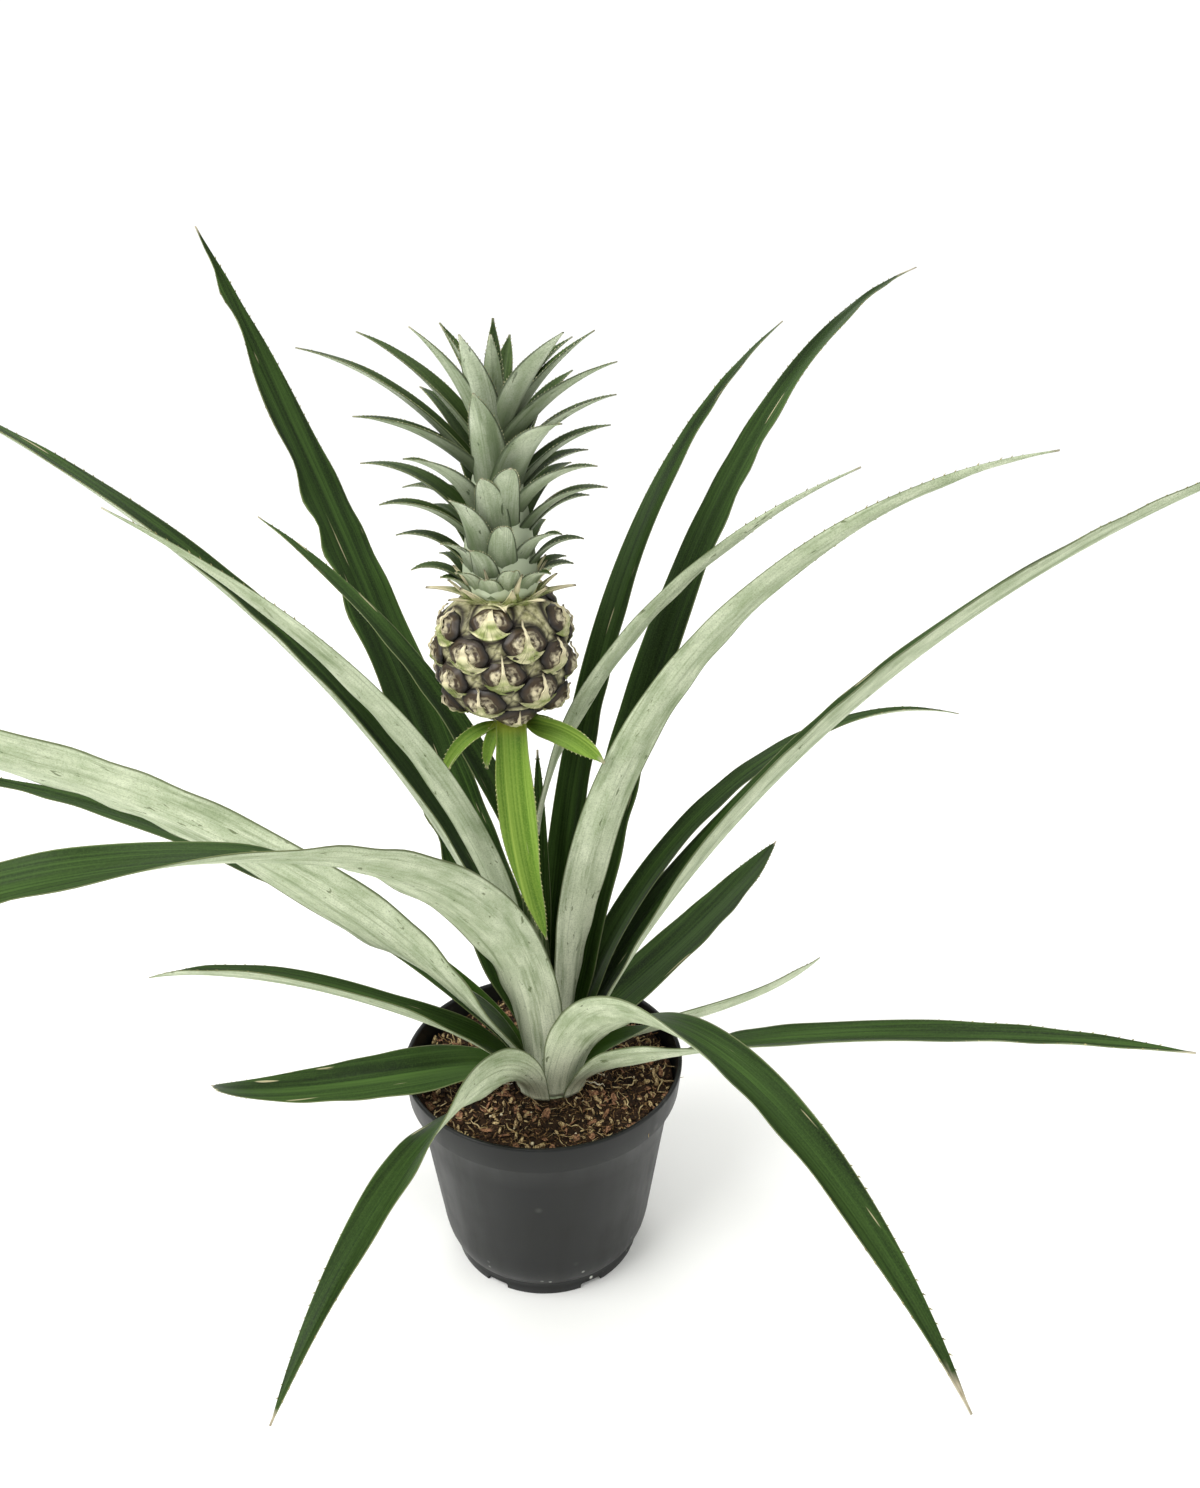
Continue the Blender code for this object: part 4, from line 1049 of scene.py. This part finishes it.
def joined(pieces):
    """Sets of points, faces, slots, grain, place and wear as one; the last three are named values."""
    faces, slots, base = [], [], 0
    for piece in pieces:
        faces += [tuple(v + base for v in f) for f in piece[1]]
        slots += list(piece[2])
        base += len(piece[0])
    points, grain, place, tip_and_root = (np.vstack([piece[k] for piece in pieces]) for k in (0, 3, 4, 5))
    return points, faces, slots, {"grain": grain, "place": place, "tip_and_root": tip_and_root}


# The woody foot stands in the mix (slot 4), the leaf bases' scales go on above it (3), and the rest is
# stalk (0).
WOOD_TOP_Z, SCALES_TOP_Z = 0.0975, 0.124
points, faces = turned(trunk, 56, lambda z: (stalk_x(z), FOOT_Y))
slots = []
for f in faces:
    top_z = max(points[v][2] for v in f)
    slots.append(4 if top_z < WOOD_TOP_Z else 3 if top_z < SCALES_TOP_Z else 0)
grain = [(16 * math.atan2(y - FOOT_Y, x - stalk_x(z)), 1000 * z, 0) for x, y, z in points]
unworn = np.zeros((len(points), 3))
pieces, margins = [(points, faces, slots, grain, unworn, unworn)], []
for i, row in enumerate(BRACTS):
    points, faces, slots, grain, place, edges = blade(
        row, 56 if i == 0 else 28, 11, stalk_x(row[2] / 1000),
        launch=30.0, sheath=0.004, cup_tip=30.0, wave=0.15, serial=30 + i,
    )
    tip_and_root = tip_and_root_of(grain, row[7], 2.5, 9, i)
    pieces.append((points, faces, [s + 1 for s in slots], grain, place, tip_and_root))
    margins += edges
points, faces, slots, fields = joined(pieces)
finishes = [scurf, young_top, young_under, scales, foot_bark_and_shade]
stalk = make("stalk_and_bracts", points, faces, finishes, slots, fields)
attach(stalk, "root")
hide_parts("stem")
bract_thorn = stuff("bract_thorn", "#a9ab62", "#d8d6a0", 2.0, 0.55)
spines("bract_spines", margins, 0.12, 0.97, 0.0020, 0.0008, 0.00024, bract_thorn)

# ================================================================ fruit
# A small unripe fruit: a barrel of large domed eyes, dark purple brown with a grey bloom and a painted
# highlight, each held from below by a leathery cream and green bract whose long spine lies over it; a dry
# straw frill stands under the crown.
FRUIT_Z, FRUIT_H, FRUIT_R, EYES, PHASE = 0.283, 0.050, 0.0265, 28, 286.4
fx = stalk_x(FRUIT_Z + 0.02)
GOLDEN = math.radians(137.508)
EYE_W, EYE_H, SINK = 0.0088, 0.0068, 0.0012  # half sizes of an eye, and how deep its rim sits in the rind


def barrel(z):
    """Radius of the fruit at a height, under its eyes."""
    u = (z - FRUIT_Z) / FRUIT_H * 2 - 1
    return FRUIT_R * (1 - min(1.0, abs(u)) ** 3.6 * 0.52)


# Direction and height of each eye, one golden angle after the other, up the barrel.
eyes = []
for i in range(EYES):
    eyes.append((math.radians(PHASE) + i * GOLDEN, FRUIT_Z + FRUIT_H * (0.07 + 0.86 * (i + 0.5) / EYES)))


def seat(a, z, sink):
    """Where an eye sits on the barrel and which way it looks: place and turn."""
    above, below = min(z + 0.002, FRUIT_Z + FRUIT_H - 0.001), max(z - 0.002, FRUIT_Z + 0.001)
    slope = (barrel(above) - barrel(below)) / 0.004
    tilt = math.atan(-slope)
    out = Vector((math.cos(a) * math.cos(tilt), math.sin(a) * math.cos(tilt), math.sin(tilt)))
    level = Vector((-math.sin(a), math.cos(a), 0))
    up = out.cross(level)
    r = barrel(z) - sink
    place = (fx + r * math.cos(a), FOOT_Y + r * math.sin(a), z)
    return place, Matrix((level, up, out)).transposed().to_euler()


# Fruit rind: leathery, mottled cream green between the eyes, with a painted shade of dark brown in the
# creases around and between them.
rind, tree, shader = finish("leathery_fruit_rind", roughness=0.6, specular_ior_level=0.3)
where = add(tree, "ShaderNodeTexCoord")
crease_shade = add(tree, "ShaderNodeAttribute", attribute_name="crease_shade").outputs["Fac"]
cloud = add(
    tree, "ShaderNodeTexNoise", {"Vector": where.outputs["Object"], "Scale": 1000 / 2.4, "Detail": 4.0},
)
cloud = add(tree, "ShaderNodeMapRange", {"Value": cloud.outputs["Fac"], "From Min": 0.36, "From Max": 0.64})
tone = add(
    tree, "ShaderNodeMix", {0: cloud.outputs[0], 6: hue("#85835a"), 7: hue("#cfcaa0")}, data_type="RGBA",
)
# A painted shade: dark brown in the creases round and between the eyes.
whole = add(tree, "ShaderNodeMix", {0: crease_shade, 6: tone.outputs[2], 7: hue("#20180f")}, data_type="RGBA")
tree.links.new(whole.outputs[2], shader.inputs["Base Color"])
bump = add(tree, "ShaderNodeBump", {"Strength": 0.5, "Distance": 0.0004, "Height": cloud.outputs[0]})
tree.links.new(bump.outputs[0], shader.inputs["Normal"])

# Eye skin: dark purple brown, waxy, with a straw grey bloom that thickens towards the middle, where it is
# also a painted highlight on the dome's top, and near black at the rim, a painted shade where the eye sinks
# into the rind. Form runs from 0 at the middle to 1 at the rim, 9 mm away, so its streaks are rings about
# 2 mm apart.
eye_skin, tree, shader = finish("eye_skin_with_painted_light", roughness=0.48, specular_ior_level=0.45)
form = add(tree, "ShaderNodeAttribute", attribute_name="form").outputs["Vector"]
axes = add(tree, "ShaderNodeSeparateXYZ", {0: form})
where = add(tree, "ShaderNodeTexCoord")
streak = add(tree, "ShaderNodeMapping", {"Vector": form, "Scale": (5.0, 1.5, 1.5)})
streak = add(tree, "ShaderNodeTexNoise", {"Vector": streak.outputs[0], "Scale": 1.0, "Detail": 3.0})
streak = add(
    tree, "ShaderNodeMapRange",
    {"Value": streak.outputs["Fac"], "From Min": 0.38, "From Max": 0.62, "To Min": 0.4, "To Max": 1.25},
)
cloud = add(
    tree, "ShaderNodeTexNoise",
    {"Vector": where.outputs["Object"], "Scale": 1000 / 3.3, "Detail": 4.0, "Roughness": 0.6},
)
# The grey: part bloom, part a painted highlight, strongest towards the middle of the dome.
bloom_and_highlight = add(tree, "ShaderNodeMath", {0: cloud.outputs["Fac"], 1: 1.6}, operation="MULTIPLY")
inner = add(tree, "ShaderNodeMapRange", {"Value": axes.outputs[0], "From Min": 0.88, "From Max": 0.50})
bloom_and_highlight = add(tree, "ShaderNodeMath", {0: bloom_and_highlight.outputs[0], 1: inner.outputs[0]}, operation="MULTIPLY")
bloom_and_highlight = add(tree, "ShaderNodeMath", {0: bloom_and_highlight.outputs[0], 1: streak.outputs[0]}, operation="MULTIPLY")
bloom_and_highlight = add(
    tree, "ShaderNodeMapRange",
    {"Value": bloom_and_highlight.outputs[0], "From Min": 0.32, "From Max": 0.95, "To Max": 0.9},
)
dark = add(
    tree, "ShaderNodeMix", {0: cloud.outputs["Fac"], 6: hue("#171006"), 7: hue("#4d3c25")}, data_type="RGBA",
)
grey = add(
    tree, "ShaderNodeMix", {0: bloom_and_highlight.outputs[0], 6: dark.outputs[2], 7: hue("#cfc5a2")}, data_type="RGBA",
)
# Near black towards the rim: a painted shade where the eye sinks into the rind.
edge = add(tree, "ShaderNodeMapRange", {"Value": axes.outputs[0], "From Min": 0.80, "From Max": 0.95})
whole = add(
    tree, "ShaderNodeMix", {0: edge.outputs[0], 6: grey.outputs[2], 7: hue("#14100c")}, data_type="RGBA",
)
tree.links.new(whole.outputs[2], shader.inputs["Base Color"])
bump = add(tree, "ShaderNodeBump", {"Strength": 0.5, "Distance": 0.0006, "Height": cloud.outputs["Fac"]})
tree.links.new(bump.outputs[0], shader.inputs["Normal"])

# Fruit bract: leathery, cream with green veins, its point dry and straw coloured. Form runs from -1 to 1
# across its 16 mm foot, so its veins are about 1 mm apart.
bract_skin, tree, shader = finish("leathery_fruit_bract", roughness=0.58, specular_ior_level=0.4)
form = add(tree, "ShaderNodeAttribute", attribute_name="form").outputs["Vector"]
axes = add(tree, "ShaderNodeSeparateXYZ", {0: form})
where = add(tree, "ShaderNodeTexCoord")
vein = add(tree, "ShaderNodeMapping", {"Vector": form, "Scale": (5.0, 0.9, 1.0)})
vein = add(tree, "ShaderNodeTexNoise", {"Vector": vein.outputs[0], "Scale": 1.6, "Detail": 4.0})
cloud = add(
    tree, "ShaderNodeTexNoise", {"Vector": where.outputs["Object"], "Scale": 1000 / 4.8, "Detail": 4.0},
)
green = add(tree, "ShaderNodeMapRange", {"Value": cloud.outputs["Fac"], "From Min": 0.4, "From Max": 0.62})
base_tone = add(
    tree, "ShaderNodeMix", {0: green.outputs[0], 6: hue("#8f9a58"), 7: hue("#d8d3a6")}, data_type="RGBA",
)
veined = add(
    tree, "ShaderNodeMapRange",
    {"Value": vein.outputs["Fac"], "From Min": 0.52, "From Max": 0.66, "To Max": 0.7},
)
toned = add(
    tree, "ShaderNodeMix", {0: veined.outputs[0], 6: base_tone.outputs[2], 7: hue("#5d6538")},
    data_type="RGBA",
)
tip = add(tree, "ShaderNodeMapRange", {"Value": axes.outputs[1], "From Min": 0.35, "From Max": 0.6})
toned = add(
    tree, "ShaderNodeMix", {0: tip.outputs[0], 6: toned.outputs[2], 7: hue("#e3d9b4")}, data_type="RGBA",
)
end = add(
    tree, "ShaderNodeMapRange", {"Value": axes.outputs[1], "From Min": 0.9, "From Max": 1.0, "To Max": 0.8},
)
toned = add(
    tree, "ShaderNodeMix", {0: end.outputs[0], 6: toned.outputs[2], 7: hue("#4b3a26")}, data_type="RGBA",
)
tree.links.new(toned.outputs[2], shader.inputs["Base Color"])
bump = add(tree, "ShaderNodeBump", {"Strength": 0.5, "Distance": 0.0005, "Height": vein.outputs["Fac"]})
tree.links.new(bump.outputs[0], shader.inputs["Normal"])

rows = [(0.0, FRUIT_Z), (0.006, FRUIT_Z), (0.010, FRUIT_Z + 0.0001)]
for i in range(81):
    z = FRUIT_Z + 0.0006 + (FRUIT_H - 0.0012) * i / 80
    rows.append((barrel(z), z))
rows += [(0.010, FRUIT_Z + FRUIT_H), (0.006, FRUIT_Z + FRUIT_H), (0.0, FRUIT_Z + FRUIT_H)]
points, faces = turned(rows, 220, lambda z: (fx, FOOT_Y))
bumped, crease_shades = [], []
for x, y, z in points:
    dx, dy = x - fx, y - FOOT_Y
    r, a = math.hypot(dx, dy), math.atan2(dy, dx)
    crease_shade = 0.0
    if r > 0.0105:
        away = []
        for b, h in eyes:
            aside = ((a - b + math.pi) % (2 * math.pi) - math.pi) * r
            away.append(math.hypot(aside / EYE_W, (z - h) / EYE_H))
        first, second = sorted(away)[:2]
        lift = 0.0009 * ease((second - first) / 0.45) - SINK
        x, y = x + dx / r * lift, y + dy / r * lift
        # A painted shade: a dark ring on each eye's rim and dark lines where two eyes meet.
        around_eye = math.exp(-(((first - 1.0) / 0.16) ** 2))
        crease_shade = min(1.0, around_eye + 0.75 * math.exp(-(((second - first) / 0.09) ** 2)))
    crease_shades.append(crease_shade)
    bumped.append((x, y, z))
body = make("fruit_body", bumped, faces, [rind], fields={"crease_shade": crease_shades})
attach(body, "root")
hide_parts("fruit")


def dome(r):
    """Height of an eye over its seat, by the share of the way from its middle to its rim."""
    if r >= 1:
        return 0.0
    pucker = 0.0014 * math.exp(-((r / 0.22) ** 2))
    groove = 0.0008 * math.exp(-(((r - 0.60) / 0.10) ** 2))
    return 0.0044 * (1 - r**2.8) - pucker - groove


def eye_shape(seed):
    """One domed eye, lying on XY with +Y up the fruit: a rim, wrinkled crescents and a puckered middle."""
    rings, sides = 14, 36
    points, form = [(0, 0, dome(0))], [(0, 0, 0)]
    for i in range(1, rings + 1):
        r = i / rings
        for k in range(sides):
            a = 2 * math.pi * k / sides
            six = 1 + 0.04 * math.cos(6 * a + 0.5)
            inner = math.sin(math.pi * r)
            fold = 0.00028 * math.sin(22 * r + 2.2 * math.sin(2 * a + seed)) * inner
            fold += 0.0003 * math.cos(5 * a + seed) * inner**2
            x, y = EYE_W * r * six * math.cos(a), EYE_H * r * six * math.sin(a)
            points.append((x, y, dome(r) + fold - SINK))
            form.append((r, math.cos(a), math.sin(a)))
    faces = [(0, 1 + k, 1 + (k + 1) % sides) for k in range(sides)]
    for i in range(rings - 1):
        for k in range(sides):
            low, high, j = 1 + i * sides, 1 + (i + 1) * sides, (k + 1) % sides
            faces.append((low + k, high + k, high + j, low + j))
    faces.append(tuple(1 + (rings - 1) * sides + k for k in range(sides))[::-1])
    return points, faces, form


def bract_shape(width, length, fall, start, lean, curl, lies):
    """A broad foot that narrows fast to a long spine, thin and closed; it lies on the eye if lies is 1."""
    rows, across = 22, 11
    top, under, form = [], [], []
    for i in range(rows + 1):
        v = (i / rows) ** 1.25
        w = width / 2 * math.exp(-v * length / fall) * (1 - v**6) + 0.00018
        for j in range(across):
            u = j / (across - 1) * 2 - 1
            x = w * u + lean * v * v
            y = start + length * v + lies * 0.0042 * (1 - v) ** 6 * u * u
            r = math.hypot(x / EYE_W, y / EYE_H)
            z = lies * max(dome(r) - SINK, -0.0011) + 0.0005 + curl * v * v
            z -= (1 - lies) * 0.0012 * u * u * (1 - v)
            top.append((x, y, z + 0.0003 * math.exp(-((u / 0.25) ** 2))))
            under.append((x, y, z - 0.0006))
            form.append((u, v, 0))
    n = (rows + 1) * across
    points, faces = top + under, []
    for i in range(rows):
        for j in range(across - 1):
            a = i * across + j
            b = a + across
            faces += [(a, a + 1, b + 1, b), (n + b, n + b + 1, n + a + 1, n + a)]
        for j, flip in ((0, False), (across - 1, True)):
            a, b = i * across + j, (i + 1) * across + j
            faces.append((a, b, n + b, n + a) if flip else (b, a, n + a, n + b))
    for i, flip in ((0, False), (rows, True)):
        for j in range(across - 1):
            a = i * across + j
            faces.append((a, a + 1, n + a + 1, n + a) if flip else (a + 1, a, n + a, n + a + 1))
    return points, faces, form + form


def set_tree():
    """Sets one of a few shapes on each point, turned and sized by the point's own values."""
    tree = bpy.data.node_groups.new("set_on_fruit", "GeometryNodeTree")
    face = tree.interface
    face.new_socket("Seats", in_out="INPUT", socket_type="NodeSocketGeometry")
    kinds_of = {"Shapes": "Collection", "Seed": "Int", "Finish": "Material"}
    for label in ("Shapes", "Smallest", "Largest", "Seed", "Finish"):
        face.new_socket(label, in_out="INPUT", socket_type="NodeSocket" + kinds_of.get(label, "Float"))
    face.new_socket("Pieces", in_out="OUTPUT", socket_type="NodeSocketGeometry")
    start = add(tree, "NodeGroupInput").outputs
    seats = add(tree, "GeometryNodeMeshToPoints", {0: start["Seats"]})
    turn = add(tree, "GeometryNodeInputNamedAttribute", {"Name": "turn"}, data_type="FLOAT_VECTOR")
    size = add(
        tree, "FunctionNodeRandomValue", {2: start["Smallest"], 3: start["Largest"], "Seed": start["Seed"]},
        data_type="FLOAT",
    )
    shapes = add(
        tree, "GeometryNodeCollectionInfo",
        {"Collection": start["Shapes"], "Separate Children": True, "Reset Children": True},
    )
    put = add(
        tree, "GeometryNodeInstanceOnPoints",
        {
            "Points": seats.outputs[0], "Instance": shapes.outputs[0], "Pick Instance": True,
            "Rotation": turn.outputs[0], "Scale": size.outputs[1],
        },
    )
    real = add(tree, "GeometryNodeRealizeInstances", {0: put.outputs[0]})
    dressed = add(tree, "GeometryNodeSetMaterial", {"Geometry": real.outputs[0], "Material": start["Finish"]})
    add(tree, "NodeGroupOutput", {0: dressed.outputs[0]})
    return tree


def set_on(name, seats, shapes, smallest, largest, seed, material, slot):
    """One piece with a shape on each seat."""
    group = kinds(name + "_kinds", shapes)
    mesh = bpy.data.meshes.new(name + "_seats")
    mesh.from_pydata([p for p, turn in seats], [], [])
    turns = mesh.attributes.new("turn", "FLOAT_VECTOR", "POINT")
    turns.data.foreach_set("vector", np.array([tuple(turn) for p, turn in seats], np.float32).ravel())
    host = bpy.data.objects.new(name + "_seats", mesh)
    bpy.context.scene.collection.objects.link(host)
    values = {"Shapes": group, "Smallest": smallest, "Largest": largest, "Seed": seed, "Finish": material}
    piece = grow(name, host, setting, values)
    bpy.data.objects.remove(host, do_unlink=True)
    clear(group)
    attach(piece, "root")
    return piece


setting = set_tree()
seats = [seat(a, z, 0.0006) for a, z in eyes]
set_on("fruit_eyes", seats, [eye_shape(s) for s in (0.3, 1.9, 4.0)], 0.97, 1.04, 1, eye_skin, "fruit_rind")
# width, length, how fast it narrows, start below the eye's middle, lean, curl of the point, lies on an eye
shields = [
    bract_shape(0.0165, 0.0150, 0.0042, -0.0078, 0.0006, 0.0012, 1),
    bract_shape(0.0155, 0.0175, 0.0040, -0.0078, -0.0008, 0.0022, 1),
    bract_shape(0.0170, 0.0125, 0.0046, -0.0076, 0.0002, 0.0004, 1),
    bract_shape(0.0160, 0.0160, 0.0038, -0.0078, 0.0014, 0.0018, 1),
]
set_on("fruit_bracts", seats, shields, 0.96, 1.05, 2, bract_skin, "fruit_rind")
ring, FRILL = [], 24
for i in range(FRILL):
    a = 2 * math.pi * i / FRILL + 0.09 * math.sin(5.0 * i)
    lift = math.radians(28 + 26 * (i % 3) + 6 * math.sin(3.1 * i))
    level = Vector((-math.sin(a), math.cos(a), 0))
    ahead = Vector((math.cos(a) * math.cos(lift), math.sin(a) * math.cos(lift), math.sin(lift)))
    turn = Matrix((level, ahead, level.cross(ahead))).transposed().to_euler()
    r = 0.0150 - 0.0012 * (i % 3)
    ring.append(((fx + r * math.cos(a), FOOT_Y + r * math.sin(a), FRUIT_Z + FRUIT_H - 0.0012), turn))
frills = [
    bract_shape(0.0100, 0.0150, 0.0062, -0.001, 0.0010, 0.0030, 0),
    bract_shape(0.0090, 0.0125, 0.0058, -0.001, -0.0012, 0.0016, 0),
    bract_shape(0.0095, 0.0170, 0.0056, -0.001, 0.0, 0.0040, 0),
]
set_on("fruit_frill", ring, frills, 0.85, 1.1, 6, bract_skin, "fruit_rind")

# ================================================================ crown
# The tuft on the fruit: a core wrapped in fifty-eight blades, short broad scales that bend back below, long
# upright ones above, silver outside and dark green inside, with fine saw teeth on their margins.
CROWN_Z = 0.3335
# Radius and height of the core over the crown's foot.
CROWN_CORE = (
    (0.0135, 0.0), (0.0150, 0.003), (0.0145, 0.012), (0.0125, 0.028), (0.0095, 0.045), (0.0055, 0.060),
    (0.0035, 0.066),
)
# One row per blade: facing deg, height above the foot mm, launch deg, droop deg, length mm, width mm
CROWN = (
    (265, 20, 76, 50, 40, 18), (282, 24, 70, 50, 44, 18), (25, 1, 62, 72, 19, 15), (70, 1, 60, 72, 20, 15),
    (115, 1, 60, 72, 20, 15), (150, 1, 62, 72, 20, 15), (190, 3, 48, 72, 24, 15), (205, 0, 66, 72, 15, 14),
    (233, 2, 70, 66, 17, 14), (259, 1, 72, 60, 14, 14), (286, 2, 72, 62, 19, 14), (318, 2, 66, 74, 19, 14),
    (345, 3, 60, 70, 21, 15), (225, 7, 76, 69, 25, 15), (252, 5, 76, 60, 25, 15), (278, 9, 78, 58, 32, 16),
    (350, 10, 58, 67, 26, 15), (180, 10, 52, 68, 32, 15), (322, 13, 64, 65, 26, 16),
    (242, 13, 78, 55, 38, 18), (60, 8, 60, 68, 26, 16), (105, 10, 60, 66, 28, 16),
    (140, 14, 54, 64, 32, 16), (85, 18, 60, 60, 34, 17), (198, 21, 50, 59, 40, 17),
    (10, 22, 54, 58, 30, 16), (345, 24, 54, 57, 40, 17), (168, 25, 50, 56, 52, 18),
    (48, 24, 56, 56, 38, 17), (150, 28, 34, 54, 38, 16), (222, 30, 62, 52, 44, 21),
    (120, 30, 58, 52, 42, 17), (328, 31, 54, 51, 44, 18), (95, 34, 62, 50, 44, 17),
    (260, 36, 80, 36, 50, 21), (25, 38, 44, 47, 34, 15), (300, 38, 58, 47, 58, 21), (5, 40, 52, 45, 44, 17),
    (65, 40, 60, 44, 48, 17), (135, 42, 58, 44, 50, 17), (200, 45, 46, 41, 54, 19),
    (184, 45, 54, 42, 82, 17), (350, 48, 52, 39, 50, 17), (40, 48, 62, 38, 46, 16),
    (110, 50, 66, 36, 48, 16), (213, 53, 75, 36, 57, 18), (248, 49, 81, 30, 55, 20),
    (165, 53, 56, 35, 66, 17), (335, 55, 52, 34, 58, 17), (308, 57, 62, 32, 60, 19),
    (80, 56, 72, 30, 44, 14), (5, 59, 62, 31, 52, 15), (272, 60, 84, 22, 40, 13), (140, 60, 70, 28, 46, 13),
    (20, 64, 60, 30, 42, 13), (92, 60, 87, 12, 42, 12), (265, 62, 89, 6, 34, 8), (184, 62, 78, 24, 41, 11),
)
cx = fx - 0.0005
# Crown leaves: inside dark green and satin, outside the whitest scales of the plant, rubbed dark in places;
# towards the roots the outside turns dark green, a painted shade where the blades crowd each other.
crown_top = upper_skin("crown_leaf_cuticle", "#1b2913", "#2f4220", "#61773f", "#35471f", 0.6, 0.45)
crown_under = under_skin(
    "crown_leaf_scales", "#e2ead0", "#a9b893", "#46562f", "#6a7e52", "#333f25", 0.7, 0.85,
)
core = [(0.0, CROWN_Z - 0.002), (0.0100, CROWN_Z - 0.002)] + [(r, CROWN_Z + h) for r, h in CROWN_CORE]
core.append((0.0, CROWN_Z + 0.068))
points, faces = turned(core, 32, lambda z: (cx, FOOT_Y))
unworn = np.zeros((len(points), 3))
pieces, margins = [(points, faces, [1] * len(faces), unworn, unworn, unworn)], []
for i, (facing, up, launch, droop, length, width) in enumerate(CROWN):
    root_r = 13.5 - 11.0 * (up / 66) ** 1.3
    row = (
        facing, root_r, CROWN_Z * 1000 + up, launch, droop, 1.4, 0, length, width, width * 0.82, 0, 0, 34,
        2.0, 0.06,
    )
    points, faces, slots, grain, place, edges = blade(
        row, 26, 9, cx, launch=launch + 4, sheath=0.004, cup_tip=30.0, wave=0.12,
        thick=(0.0009, 0.0005), serial=50 + i,
    )
    # The root colour reaches three quarters up each blade: on the outside a painted shade.
    pieces.append((points, faces, slots, grain, place, tip_and_root_of(grain, length, 1.2, 0.75 * length, i)))
    margins += edges
points, faces, slots, fields = joined(pieces)
crown = make("crown_blades", points, faces, [crown_top, crown_under], slots, fields)
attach(crown, "root")
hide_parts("crown")
crown_thorn = stuff("crown_thorn", "#8f9068", "#c8c6a0", 2.0, 0.55)
spines("crown_spines", margins, 0.3, 0.97, 0.0016, 0.0007, 0.00022, crown_thorn)
